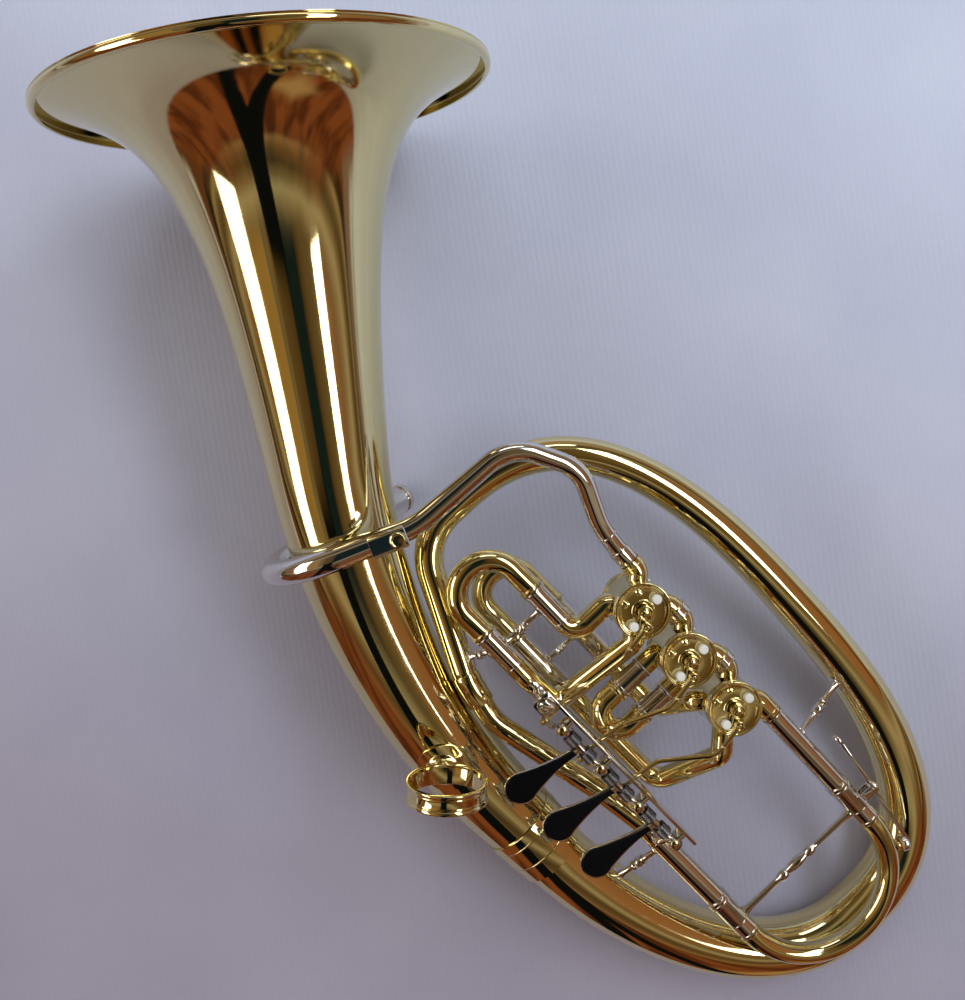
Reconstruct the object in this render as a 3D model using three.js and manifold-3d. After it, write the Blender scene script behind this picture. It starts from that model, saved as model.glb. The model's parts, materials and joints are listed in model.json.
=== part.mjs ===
// Rotary-valve alto horn of oval form, lying on its back as it is set down.
// The geometry is laid out in the row frame: X runs along the valve row from valve 1 to valve 3,
// Y across it towards the upper branch of the oval, Z out of the horn towards the valve faces.
// The big oval bow lies in the plane Z = 0. Two groups at the end turn and tilt that frame.
import * as THREE from "three";
import { mergeVertices } from "three/addons/utils/BufferGeometryUtils.js";
import Module from "manifold-3d";

const wasm = await Module();
wasm.setup();

// Sizes in millimetres and angles in degrees

// fits
const seatGap = 0.3; // between pieces that are soldered, screwed or run in each other
const overrun = 1; // how far a cutting body passes the face that it cuts

// tube of the cylindrical bore
const tubeRadius = 5.5; // outer sleeves and branches
const tubeWall = 0.8;
const boreRadius = tubeRadius - tubeWall;
const legRadius = boreRadius - seatGap; // inner legs of the slides
const legWall = 0.7;
const beadWidth = 1.8; // rolled ring at the end of a sleeve
const beadHeight = 0.7;
const tubeSides = 8;
const smallSides = 8; // of pins, screws and their holes
const roundSides = 10; // of hubs, cups and collars
const rodSides = 6;
const curveSegments = 5; // of rounded outlines
const weldDistance = 1e-4;
const boreSides = 6; // of passages that no leg runs in
const tubeFlat = tubeRadius * Math.cos(Math.PI / tubeSides); // from the axis to a facet's middle
const staySink = 0.75 * tubeWall; // how deep a stay's end stands in the wall of its own tube
const bendSteps = 2.6; // facets in a quarter bend

// rotary valves
const valvePitch = 34;
const slideZ = 23; // height of the valve ports and the slides above the plane of the bow
const casingRadius = 13.6;
const casingWall = 2.6;
const casingHalfHeight = 11;
const knuckleRadius = 5.8; // bend of the short elbows at the ports
const branchBend = 8; // bend of a branch further on
const knuckleReach = 18; // from a valve's axis to the end of its upper knuckle
const crossoverHalf = 2.4; // half the length of the sleeve over the joint of two knuckles
const portBack = 3; // how far a branch starts inside the casing wall
const passageOffset = 7; // bend of a rotor passage from the rotor's axis
const plateThickness = 2;
const plateRim = 1;
const capThickness = 3;
const capLip = 1.2;
const stemRadius = 2.4;
const faceScrewOffset = 9.4;
const faceScrewAngles = [150, 205];
const valveSides = 16;
const rotorSides = 12;
const capSides = 12;

// stop work on the valve faces
const armPinOffset = 6.6; // from the rotor axis to the pin that the link pushes
const armRestAngle = -38;
const rotorTravel = 90;
const armThickness = 2.6;
const armLift = 1.2; // above the face plate
const lugReach = 9.2;
const lugHalfAngle = 22;
const hubRadius = 3.6;
const hubWall = 0.7;
const screwHeadRadius = 2.2;
const screwHeadHeight = 1.6;
const pinRadius = 1;
const pinHeight = 5.4;
const bumperRadius = 2.3;
const bumperHeight = 3.2;
const bumperOffset = 8.4;
const bumperHalfAngle = 18.5; // from a bumper's middle to the lug that rests on it

// lever work
const leverPitch = 26.4;
const leverMiddleX = 14.4; // lever 2 along the row
const rodY = -64.5;
const linkLowZ = 31; // height of the crank pins, just clear of the slides below
const rodRadius = 1.2;
const sleeveRadius = 2.2;
const earThickness = 2.4;
const earRadius = 3.6;
const leverTravel = 30;
const crankRadius = 17.9;
const rodZ = linkLowZ + crankRadius;
const crankThickness = 2.2;
const crankHalfWidth = 1.7;
const crankPinRadius = 1;
const crankPinLength = 5.4;
const paddleLength = 40.5; // from the rod to the tip
const paddleRadius = 7.8;
const paddleThickness = 2;
const paddleNeck = 1.7;
const paddleSlant = 8;
const paddleMeetAngle = 25;
const paddleWaistShare = 0.45;
const paddleDrop = 2;
const inlayThickness = 1.1;
const pocketDepth = 1.2;
const paddleRim = 0.6;
const stripThickness = 1.6;
const stripHeight = 13;
const stripStandoff = 6.6;
const stripY = rodY + stripStandoff; // middle of the upright strip that carries the ears
const stripOverhang = 9;
const stripFootSize = 9;
const stripPostRadius = 2.2;
const strutRadius = 1.8;
const strutX = 58;
const springWire = 0.42;
const springRadius = 3.1; // to the middle of the wire
const springCurls = 4;
const springTailShare = 0.25; // of a curl, down to the legs
const springSteps = 8; // to a curl
const springSides = 5;
const springPitch = 1.3;
const springMiddleGap = 2.6;
const springLeg = 3;

// links from the levers to the stop arms
const linkRadius = 1.2;
const eyeRadius = 2.3;
const eyeThickness = 2.2;
const eyeClearance = 0.4;
const openEyeRadius = 2.9; // eye at the crank, which runs with play
const openEyeClearance = 0.9;
const openEyeShift = 2.8; // from the crank's face to the middle of the eye
const linkBow = 2.8;
const linkDrop = 1.5;
const linkBendRadius = 9;
const linkBendShares = [0.27, 0.62, 0.84];

// first, second and third valve slides
const slide1UpperY = -31;
const slide1LowerY = -62;
const slide1BranchX = -44.5;
const slide1SleeveStart = -53;
const slide1ReturnX = -21;
const slide1ReturnZ = 11; // low enough to pass under the levers, high enough to clear slide 3
const slide1RiseX = -44;
const slide1StayX = -65;
const slide1BeadX = -75;
const slide1CrookX = -88; // middle of the crook's half circle
const slide2HalfSpacing = 8.7;
const slide2SleeveStart = -18;
const slide2BeadY = -34;
const slide2CrookY = -42;
const slide3UpperY = -28.5;
const slide3LowerY = -54.5;
const slide3Z = -3;
const slide3BranchX = 23.5;
const slide3StayX = -35;
const slide3SleeveStart = -14;
const slide3BeadX = -55;
const slide3CrookX = -75;
const slide3ReturnX = 54;
const legInsertionShare = 0.85; // of a sleeve's length, with the slide pushed home
const crookSteps = 3; // facets in a quarter of a crook

// main tuning slide
const tuningUpperY = 12;
const tuningLowerY = -72;
const tuningSleeveStart = 56;
const tuningBeadX = 110;
const tuningCollarLength = 25.5; // nickel collar between the sleeve's bead and the crook
const tuningBraceX = 126;
const lowerSleeveStart = 62;
const tuningCrookSteps = 6;
const upperStayX = 76;
const lowerStayX = 68;
const tuningInsertion = 38; // how far the inner legs reach into the sleeves

// the oval bow
const ovalMiddleX = 31;
const ovalMiddleY = -29;
const ovalHalfLength = 157;
const ovalHalfWidth = 89.5;
const ovalTopExponent = 2.6;
const ovalEndExponent = 2.05;
const ovalSteps = 20;
const ovalEndAngle = -85;
const bowEndStraight = 5;
const bowSmallRadius = 6.2;
const bowLargeRadius = 18.4;
const bowWall = 0.9;
const bowSides = 12;
const bowStartX = -49;
const bowStartY = -87;
const bowStartZ = 15; // over the flank of the bell
const bowSwerveX = -63;
const bowSwerveY = -84;
const bowSwerveZ = 14.5;
const bowCornerY = -54;
const bowCornerRadius = 30;
const bowCornerSteps = 4;
const ferruleLength = 16;
const lowerBranchTurn = 11.5;
const lowerBranchX = 25;
const lowerBranchDip = 3.4;
const lowerBranchZ = 22;
const lowerBranchBend = 32;

// bell
const rimRadius = 102.5;
const flareOffset = 10;
const flareExponent = 0.43;
const bellWall = 0.8;
const rimBeadRadius = 2.1;
const rimBeadSteps = 4;
const rimBeadStartAngle = 200;
const rimBeadSweepAngle = 230;
const bellSides = 24;
const bellBendRadius = 318;
const bellBendAngle = 35.2;
const bellBendSteps = 6;
const bellStraight = 171;
const throatLength = 90; // from the ferrule to where the flare's own law holds
const bellFerruleLength = 26;
const bellFerruleHeight = 0.9;

// leadpipe and receiver
const leadpipeSmallRadius = 4.7;
const leadpipeLargeRadius = 6.1;
const leadpipeWall = 0.8;
const leadTaperStartShare = 0.38;
const leadTaperEndShare = 0.58;
const leadCollarLength = 8;
const leadStraightX = -60;
const leadRiseX = -75;
const leadTopX = -103;
const leadTopY = 24;
const leadShoulderX = -134;
const leadShoulderY = 8;
const leadCrossStation = 196.5; // along the bell, where the pipe passes over it
const leadCrossAside = 2;
const leadTurnX = 14; // from there to where the pipe heads over the bell
const leadTurnY = 34;
const leadBellGap = 1.2; // between the bell and the half turn of the pipe round it
const leadRiseBend = 40; // bend radii along the pipe, in its own order
const leadTopBend = 22;
const leadShoulderBend = 24;
const leadApproachBend = 40;
const leadTailBend = 18;
const leadBendSteps = 2.4;
const leadRiseY = 13;
const leadZ1 = 25;
const leadZ2 = 29;
const leadZ3 = 31;
const leadBehind = 4;
const leadTailLength = 14;
const receiverDive = 1.1;
const receiverWall = 2;
const receiverRadius = 7.2;
const receiverLength = 32;
const receiverSides = 12;

// thumb ring, lyre holder, water key
const thumbRingRadius = 18.4;
const thumbRingWidth = 9.5;
const thumbRingWall = 1.5;
const thumbRingSides = 16;
const thumbBaseSides = 12;
const thumbRingX = -39.4; // the post's place, beside the top line of the bell
const thumbRingAside = 6.4; // from the bell's axis to the post
const thumbRingAngle = 135.7;
const thumbPostHeight = 3.6;
const thumbPostRadius = 5.8;
const thumbBaseRadius = 12.4;
const thumbBaseThickness = 1.6;
const lyreLength = 17;
const lyreWidth = 9.2;
const lyreHeight = 9;
const lyreWall = 1.5;
const lyreScrewRadius = 3.8;
const lyreScrewHead = 2.6;
const lyreAlong = 14;
const keyPivotX = 123;
const keyPivotY = 24.5;
const keyZ = 24.5;
const keyArmWidth = 2.2;
const keyArmThickness = 3;
const keyEyeRadius = 2.4;
const keyLugThickness = 1.2;
const keyLugWidth = 4.6;
const keyTouchX = 94;
const keyTouchRise = 3;
const keyTouchLength = 6;
const keyTouchWidth = 6.5;
const keyCupRadius = 4;
const cupHeight = 3.4;
const corkThickness = 1.4;
const corkRadius = 3.3;
const nippleAngle = 64;
const nippleReach = 7.6; // from the middle of the tube
const nippleRadius = 2.4;

// attitude when laid down
const restTilt = 10.044;
const restRoll = -2;
const bellTurn = -55.2;

const valveX = [-valvePitch, 0, valvePitch];
const faceZ = slideZ + casingHalfHeight + seatGap + plateThickness;

// Materials

function finish(name, color, roughness, metalness) {
  const material = new THREE.MeshStandardMaterial({ color, roughness, metalness });
  material.name = name;
  return material;
}
const brass = finish("brass", 0xd9a94a, 0.16, 1);
const nickel = finish("nickel", 0xd6cfc4, 0.18, 1);
const steel = finish("steel", 0x8f8f92, 0.3, 1);
const inlayBlack = finish("black_inlay", 0x0c0b0d, 0.25, 0);
const bumperWhite = finish("bumper", 0xe9ece8, 0.6, 0);
const corkTan = finish("cork", 0xb98d5c, 0.85, 0);

// Geometry helpers

const point = (x, y, z = 0) => new THREE.Vector3(x, y, z);
const radians = THREE.MathUtils.degToRad;

function solidOf(geometry) {
  const bare = geometry.clone();
  for (const name of Object.keys(bare.attributes)) {
    if (name !== "position") bare.deleteAttribute(name);
  }
  const merged = mergeVertices(bare, weldDistance);
  return new wasm.Manifold(
    new wasm.Mesh({
      numProp: 3,
      vertProperties: merged.attributes.position.array,
      triVerts: new Uint32Array(merged.index.array),
    }),
  );
}

function geometryOf(solid) {
  const mesh = solid.getMesh();
  const positions = new Float32Array(mesh.numVert * 3);
  for (let i = 0; i < mesh.numVert; i += 1) {
    positions.set(mesh.vertProperties.subarray(i * mesh.numProp, i * mesh.numProp + 3), i * 3);
  }
  const geometry = new THREE.BufferGeometry();
  geometry.setAttribute("position", new THREE.BufferAttribute(positions, 3));
  geometry.setIndex(new THREE.BufferAttribute(new Uint32Array(mesh.triVerts), 1));
  return geometry;
}

const fuse = (geometries) => geometryOf(geometries.map(solidOf).reduce((a, b) => a.add(b)));

const cut = (geometry, tools) =>
  geometryOf(tools.map(solidOf).reduce((rest, tool) => rest.subtract(tool), solidOf(geometry)));

// A path through corners whose bends are rounded to the given radius, as a tube is bent.
function bentCorners(corners, bendRadius, stepsPerQuarter = bendSteps) {
  const points = [corners[0].clone()];
  for (let i = 1; i < corners.length - 1; i += 1) {
    const inward = corners[i].clone().sub(corners[i - 1]).normalize();
    const outward = corners[i + 1].clone().sub(corners[i]).normalize();
    const turn = inward.angleTo(outward);
    const radius = Array.isArray(bendRadius) ? bendRadius[i - 1] : bendRadius;
    const reach = radius * Math.tan(turn / 2);
    const start = corners[i].clone().addScaledVector(inward, -reach);
    const axis = inward.clone().cross(outward).normalize();
    const centre = start.clone().addScaledVector(axis.clone().cross(inward), radius);
    const steps = Math.max(1, Math.round((stepsPerQuarter * turn) / (Math.PI / 2)));
    for (let k = 0; k <= steps; k += 1) {
      const arm = start.clone().sub(centre).applyAxisAngle(axis, (turn * k) / steps);
      const next = centre.clone().add(arm);
      if (next.distanceTo(points[points.length - 1]) > seatGap) points.push(next);
    }
  }
  const last = corners[corners.length - 1];
  if (last.distanceTo(points[points.length - 1]) > seatGap) points.push(last.clone());
  return points;
}

// Frames carried along a polyline without twist, found by their distance along it.
function makePath(points) {
  const tangents = points.map((p, i) => {
    const before = points[Math.max(i - 1, 0)];
    const after = points[Math.min(i + 1, points.length - 1)];
    const into = p.clone().sub(before).normalize();
    const out = after.clone().sub(p).normalize();
    return into.add(out).normalize();
  });
  const stations = [0];
  for (let i = 1; i < points.length; i += 1) {
    stations.push(stations[i - 1] + points[i].distanceTo(points[i - 1]));
  }
  const upright = Math.abs(tangents[0].z) < 0.9 ? point(0, 0, 1) : point(0, 1, 0);
  let normal = upright.clone().cross(tangents[0]).normalize();
  const normals = [normal];
  for (let i = 1; i < points.length; i += 1) {
    const turn = new THREE.Quaternion().setFromUnitVectors(tangents[i - 1], tangents[i]);
    normal = normal.clone().applyQuaternion(turn);
    normals.push(normal);
  }
  const length = stations[stations.length - 1];
  function frameAt(s) {
    let i = 0;
    while (i < points.length - 2 && s > stations[i + 1]) i += 1;
    const share = (s - stations[i]) / (stations[i + 1] - stations[i]);
    const origin = points[i].clone().lerp(points[i + 1], share);
    const near = Math.min(Math.abs(s - stations[i]), Math.abs(s - stations[i + 1]));
    const corner = share < 0.5 ? i : i + 1;
    const onCorner = near < seatGap / 10;
    const tangent = onCorner ? tangents[corner].clone() : points[i + 1].clone().sub(points[i]).normalize();
    const across = normals[corner].clone();
    across.addScaledVector(tangent, -across.dot(tangent)).normalize();
    return { origin, tangent, across, other: tangent.clone().cross(across) };
  }
  return { stations, length, frameAt };
}

// The place along a path that is nearest to a point.
function nearestStation(path, p) {
  let best = 0;
  for (let s = 0; s < path.length; s += seatGap) {
    const here = path.frameAt(s).origin.distanceTo(p);
    if (here < path.frameAt(best).origin.distanceTo(p)) best = s;
  }
  return best;
}

// Rings of points round a path, for [distance along the path, radius] pairs. A facet faces each
// way of the frame, so that tubes of one size nest and stand flat on each other.
function ringsAlong(path, sections, sides) {
  const positions = [];
  for (const [s, radius] of sections) {
    const frame = path.frameAt(s);
    for (let k = 0; k < sides; k += 1) {
      const angle = (2 * Math.PI * (k + 0.5)) / sides;
      const p = frame.origin.clone();
      p.addScaledVector(frame.across, radius * Math.cos(angle));
      p.addScaledVector(frame.other, radius * Math.sin(angle));
      positions.push(p.x, p.y, p.z);
    }
  }
  return new THREE.Float32BufferAttribute(positions, 3);
}

// How far the surface of such a body lies from its axis in a given direction.
function reachTowards(path, s, radius, sides, direction) {
  const frame = path.frameAt(s);
  const step = (2 * Math.PI) / sides;
  const angle = Math.atan2(direction.dot(frame.other), direction.dot(frame.across));
  const off = angle - Math.round(angle / step) * step;
  return (radius * Math.cos(step / 2)) / Math.cos(off);
}

// A closed profile of [distance along the path, radius] pairs turned round a bent axis.
function bentLathe(path, profile, sides) {
  const index = [];
  const rings = profile.length;
  for (let i = 0; i < rings; i += 1) {
    for (let k = 0; k < sides; k += 1) {
      const a = i * sides + k;
      const b = i * sides + ((k + 1) % sides);
      const c = ((i + 1) % rings) * sides + k;
      const d = ((i + 1) % rings) * sides + ((k + 1) % sides);
      index.push(a, b, d, a, d, c);
    }
  }
  const geometry = new THREE.BufferGeometry();
  geometry.setAttribute("position", ringsAlong(path, profile, sides));
  geometry.setIndex(index);
  return geometry;
}

// The stations of a path's own corners that lie between two distances, with both ends.
function stationsBetween(path, start, end) {
  const inside = path.stations.filter((s) => s > start + seatGap && s < end - seatGap);
  return [start, ...inside, end];
}

// A hollow tube along a path. The radius may change along it, and beads are short rolled rings.
function hollowTube(path, options) {
  const { radius, wall, sides = tubeSides, beads = [] } = options;
  const start = options.start ?? 0;
  const end = options.end ?? path.length;
  const radiusAt = typeof radius === "function" ? radius : () => radius;
  const outer = stationsBetween(path, start, end).map((s) => [s, radiusAt(s)]);
  for (const bead of beads) {
    const height = bead.height ?? beadHeight;
    const width = bead.width ?? beadWidth;
    const foot = radiusAt(bead.at);
    const from = Math.max(bead.at - width / 2, start);
    const to = Math.min(bead.at + width / 2, end);
    const kept = outer.filter(([s]) => s < from - seatGap || s > to + seatGap);
    outer.length = 0;
    outer.push(...kept.filter(([s]) => s < from));
    if (from > start) outer.push([from, foot]);
    outer.push([from, foot + height], [to, foot + height]);
    if (to < end) outer.push([to, foot]);
    outer.push(...kept.filter(([s]) => s > to));
  }
  const inner = stationsBetween(path, start, end).map((s) => [s, radiusAt(s) - wall]);
  return bentLathe(path, [...outer, ...inner.reverse()], sides);
}

// A solid with round sections, given as [distance along the path, radius] pairs.
function solidAlong(path, sections, sides) {
  const index = [];
  const rings = sections.length;
  for (let i = 0; i < rings - 1; i += 1) {
    for (let k = 0; k < sides; k += 1) {
      const a = i * sides + k;
      const b = i * sides + ((k + 1) % sides);
      const c = (i + 1) * sides + k;
      const d = (i + 1) * sides + ((k + 1) % sides);
      index.push(a, b, d, a, d, c);
    }
  }
  const last = (rings - 1) * sides;
  for (let k = 1; k < sides - 1; k += 1) {
    index.push(0, k + 1, k);
    index.push(last, last + k, last + k + 1);
  }
  const geometry = new THREE.BufferGeometry();
  geometry.setAttribute("position", ringsAlong(path, sections, sides));
  geometry.setIndex(index);
  return geometry;
}

// A solid rod through the given points.
function solidRod(points, radius, sides = rodSides) {
  const path = makePath(points);
  return solidAlong(path, path.stations.map((s) => [s, radius]), sides);
}

// A round disc or post that stands on Z from one height to another.
function disc(x, y, zLow, zHigh, radius, sides = valveSides) {
  const geometry = new THREE.CylinderGeometry(radius, radius, zHigh - zLow, sides);
  geometry.rotateX(Math.PI / 2);
  geometry.translate(x, y, (zLow + zHigh) / 2);
  return geometry;
}

// A round bar along X.
function barX(xLow, xHigh, y, z, radius, sides = smallSides) {
  const geometry = new THREE.CylinderGeometry(radius, radius, xHigh - xLow, sides);
  geometry.rotateZ(Math.PI / 2);
  geometry.translate((xLow + xHigh) / 2, y, z);
  return geometry;
}

function box(xLow, xHigh, yLow, yHigh, zLow, zHigh) {
  const geometry = new THREE.BoxGeometry(xHigh - xLow, yHigh - yLow, zHigh - zLow);
  geometry.translate((xLow + xHigh) / 2, (yLow + yHigh) / 2, (zLow + zHigh) / 2);
  return geometry;
}

// A turned brace between two points: thin ends, a swelling with rings at its middle.
const braceShares = [
  [0, 0.62],
  [0.34, 0.62],
  [0.38, 0.95],
  [0.42, 0.62],
  [0.5, 1],
  [0.58, 0.62],
  [0.62, 0.95],
  [0.66, 0.62],
  [1, 0.62],
];
const braceRadius = 2.7;
function brace(from, to) {
  const length = from.distanceTo(to);
  const outline = [new THREE.Vector2(0, 0)];
  for (const [along, share] of braceShares) {
    outline.push(new THREE.Vector2(share * braceRadius, along * length));
  }
  outline.push(new THREE.Vector2(0, length));
  const geometry = new THREE.LatheGeometry(outline, rodSides);
  const turn = new THREE.Quaternion().setFromUnitVectors(
    point(0, 1, 0),
    to.clone().sub(from).normalize(),
  );
  geometry.applyQuaternion(turn);
  geometry.translate(from.x, from.y, from.z);
  return geometry;
}

const horn = new THREE.Group();

function place(name, geometry, material, parent = horn) {
  const mesh = new THREE.Mesh(geometry, material);
  mesh.name = name;
  parent.add(mesh);
  return mesh;
}

// The oval bow, from the ferrule of the lower branch round the oval to the bell ferrule

function ovalPoint(angle) {
  const c = Math.cos(radians(angle));
  const s = Math.sin(radians(angle));
  const exponent = s >= 0 ? ovalTopExponent : ovalEndExponent;
  const x = Math.sign(c) * Math.abs(c) ** (2 / exponent);
  const y = Math.sign(s) * Math.abs(s) ** (2 / exponent);
  return point(ovalMiddleX + ovalHalfLength * x, ovalMiddleY + ovalHalfWidth * y);
}

function ovalBowPoints() {
  const leftX = ovalMiddleX - ovalHalfLength;
  const start = bentCorners(
    [
      point(bowStartX, bowStartY, bowStartZ),
      point(bowSwerveX, bowSwerveY, bowSwerveZ),
      point(leftX, bowCornerY),
      point(leftX, ovalMiddleY),
    ],
    bowCornerRadius,
    bowCornerSteps,
  );
  const oval = [];
  for (let i = 1; i <= ovalSteps; i += 1) {
    oval.push(ovalPoint(180 + ((ovalEndAngle - 180) * i) / ovalSteps));
  }
  const end = oval[oval.length - 1];
  return [...start, ...oval, point(end.x - bowEndStraight, end.y)];
}

const bowPath = makePath(ovalBowPoints());
const bowRadiusAt = (s) =>
  bowSmallRadius + ((bowLargeRadius - bowSmallRadius) * s) / bowPath.length;
place(
  "main_bow",
  hollowTube(bowPath, {
    radius: bowRadiusAt,
    wall: bowWall,
    sides: bowSides,
    beads: [{ at: ferruleLength / 2, width: ferruleLength, height: beadHeight }],
  }),
  brass,
);

// Bell: the throat bend, the straight flare and the rolled rim

const bellPath = (() => {
  const start = bowPath.frameAt(bowPath.length + seatGap).origin;
  const straightIn = start.x; // down to X = 0, where the bend starts
  const points = [start];
  const bendCentre = point(start.x - straightIn, start.y + bellBendRadius);
  for (let k = 0; k <= bellBendSteps; k += 1) {
    const angle = radians(-90 - (bellBendAngle * k) / bellBendSteps);
    points.push(
      point(
        bendCentre.x + bellBendRadius * Math.cos(angle),
        bendCentre.y + bellBendRadius * Math.sin(angle),
      ),
    );
  }
  const last = points[points.length - 1];
  const heading = radians(180 - bellBendAngle);
  points.push(
    point(last.x + bellStraight * Math.cos(heading), last.y + bellStraight * Math.sin(heading)),
  );
  return makePath(points);
})();

function bellRadiusAt(s) {
  const law = (at) => rimRadius * (flareOffset / (bellPath.length - at + flareOffset)) ** flareExponent;
  if (s >= throatLength) return law(s);
  return bowLargeRadius + ((law(throatLength) - bowLargeRadius) * s) / throatLength;
}

const flareShares = [0.2, 0.4, 0.57, 0.7, 0.8, 0.88, 0.935, 0.972];
function bellProfile() {
  const bendEnd = bellPath.length - bellStraight;
  const throat = bellPath.stations.filter((s) => s > bellFerruleLength + overrun && s <= bendEnd);
  const flare = flareShares.map((share) => bendEnd + share * bellStraight);
  const body = [...throat, ...flare];
  const edge = bellPath.length;
  const ferrule = bowLargeRadius + bellFerruleHeight;
  const outer = [
    [0, ferrule],
    [bellFerruleLength, bellRadiusAt(bellFerruleLength) + bellFerruleHeight],
    [bellFerruleLength, bellRadiusAt(bellFerruleLength)],
    ...body.map((s) => [s, bellRadiusAt(s)]),
  ];
  const bead = [];
  for (let k = 0; k <= rimBeadSteps; k += 1) {
    const angle = radians(rimBeadStartAngle - (rimBeadSweepAngle * k) / rimBeadSteps);
    bead.push([
      edge + rimBeadRadius * Math.cos(angle) - rimBeadRadius,
      rimRadius + rimBeadRadius * Math.sin(angle) - rimBeadRadius,
    ]);
  }
  const inner = [0, ...body].map((s) => [s, bellRadiusAt(s) - bellWall]).reverse();
  return [...outer, ...bead, ...inner];
}
place("bell", bentLathe(bellPath, bellProfile(), bellSides), brass);

// Branches: brass tubes that are soldered to a valve's ports

// The start of a branch, inside the casing wall at the port's angle.
function portStart(x, angle) {
  const reach = casingRadius - portBack;
  return point(x + reach * Math.cos(radians(angle)), reach * Math.sin(radians(angle)), slideZ);
}

// The corner where a branch turns out of the line of its port, at a place across or along the row.
const cornerAtY = (x, angle, y) => point(x + y / Math.tan(radians(angle)), y, slideZ);
const cornerAtX = (x, angle, at) => point(at, (at - x) * Math.tan(radians(angle)), slideZ);

// The same points with both ends moved outward.
function extended(points, by) {
  const n = points.length - 1;
  const first = points[0].clone().sub(points[1]).setLength(by).add(points[0]);
  const last = points[n].clone().sub(points[n - 1]).setLength(by).add(points[n]);
  return [first, ...points.slice(1, n), last];
}

function branch(corners, bends) {
  const points = bentCorners(corners, bends);
  return {
    body: solidRod(points, tubeRadius, tubeSides),
    bore: solidRod(extended(points, overrun), boreRadius, boreSides),
  };
}

const crossMiddle = (a, b) => (valveX[a] + valveX[b]) / 2;

function upperKnuckle(x, angle, endX) {
  return branch(
    [portStart(x, angle), cornerAtY(x, angle, tuningUpperY), point(endX, tuningUpperY, slideZ)],
    knuckleRadius,
  );
}

function slide2Branch(angle) {
  const x = valveX[1] + Math.sign(Math.cos(radians(angle))) * slide2HalfSpacing;
  return branch(
    [portStart(valveX[1], angle), cornerAtX(valveX[1], angle, x), point(x, slide2SleeveStart, slideZ)],
    knuckleRadius,
  );
}

const branches = [
  [
    upperKnuckle(valveX[0], 135, valveX[0] - knuckleReach),
    upperKnuckle(valveX[0], 45, crossMiddle(0, 1) - seatGap / 2),
    branch(
      [
        portStart(valveX[0], 225),
        cornerAtX(valveX[0], 225, slide1BranchX),
        point(slide1BranchX, slide1UpperY, slideZ),
        point(slide1SleeveStart, slide1UpperY, slideZ),
      ],
      [knuckleRadius, branchBend],
    ),
    branch(
      [
        portStart(valveX[0], 315),
        cornerAtX(valveX[0], 315, slide1ReturnX),
        point(slide1ReturnX, slide1LowerY, slide1ReturnZ),
        point(slide1RiseX, slide1LowerY, slideZ),
        point(slide1SleeveStart, slide1LowerY, slideZ),
      ],
      [knuckleRadius, branchBend, branchBend],
    ),
  ],
  [
    upperKnuckle(valveX[1], 135, crossMiddle(0, 1) + seatGap / 2),
    upperKnuckle(valveX[1], 45, crossMiddle(1, 2) - seatGap / 2),
    slide2Branch(225),
    slide2Branch(315),
  ],
  [
    upperKnuckle(valveX[2], 135, crossMiddle(1, 2) + seatGap / 2),
    upperKnuckle(valveX[2], 45, tuningSleeveStart),
    branch(
      [
        portStart(valveX[2], 225),
        cornerAtX(valveX[2], 225, slide3BranchX),
        point(slide3BranchX, slide3UpperY, slide3Z),
        point(slide3SleeveStart, slide3UpperY, slide3Z),
      ],
      [knuckleRadius, branchBend],
    ),
    branch(
      [
        portStart(valveX[2], 315),
        cornerAtX(valveX[2], 315, slide3ReturnX),
        point(slide3ReturnX, slide3LowerY, slide3Z),
        point(slide3SleeveStart, slide3LowerY, slide3Z),
      ],
      [knuckleRadius, branchBend],
    ),
  ],
];

// Valves: casing with its branches, rotor, bearing plate, back cap and stop work

const casingLow = slideZ - casingHalfHeight;
const casingHigh = slideZ + casingHalfHeight;
const rotorRadius = casingRadius - casingWall - seatGap;
const armZ = faceZ + armLift;
const stemFront = armZ + armThickness / 2 - seatGap - slideZ;
const stemBack = casingHalfHeight + capThickness / 2;

function casing(k) {
  const shell = disc(valveX[k], 0, casingLow, casingHigh, casingRadius);
  const joined = fuse([shell, ...branches[k].map((b) => b.body)]);
  const boreSize = casingRadius - casingWall;
  const hole = disc(valveX[k], 0, casingLow - overrun, casingHigh + overrun, boreSize);
  return cut(joined, [hole, ...branches[k].map((b) => b.bore)]);
}

// Two bent passages that join the ports in pairs, and a stem at each end.
function rotor() {
  const body = disc(0, 0, -casingHalfHeight + seatGap, casingHalfHeight - seatGap, rotorRadius, rotorSides);
  const reach = (rotorRadius + overrun) * Math.SQRT1_2;
  const passages = [1, -1].map((side) => {
    const corners = [
      point(-reach, side * reach),
      point(0, side * passageOffset),
      point(reach, side * reach),
    ];
    return solidRod(bentCorners(corners, passageOffset), boreRadius, boreSides);
  });
  const stem = disc(0, 0, -stemBack, stemFront, stemRadius, tubeSides);
  return fuse([cut(body, passages), stem]);
}

function bearingPlate(x) {
  const low = casingHigh + seatGap;
  const flat = disc(x, 0, low, faceZ, casingRadius);
  const rim = cut(disc(x, 0, low, faceZ + plateRim, casingRadius), [
    disc(x, 0, low - overrun, faceZ + plateRim + overrun, casingRadius - 2 * plateRim),
  ]);
  const screws = faceScrewAngles.map((angle) => {
    const screwX = x + faceScrewOffset * Math.cos(radians(angle));
    const screwY = faceScrewOffset * Math.sin(radians(angle));
    return disc(screwX, screwY, low, faceZ + screwHeadHeight / 2, screwHeadRadius, smallSides);
  });
  const bore = disc(x, 0, low - overrun, faceZ + overrun, stemRadius + seatGap, tubeSides);
  return cut(fuse([flat, rim, ...screws]), [bore]);
}

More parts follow.
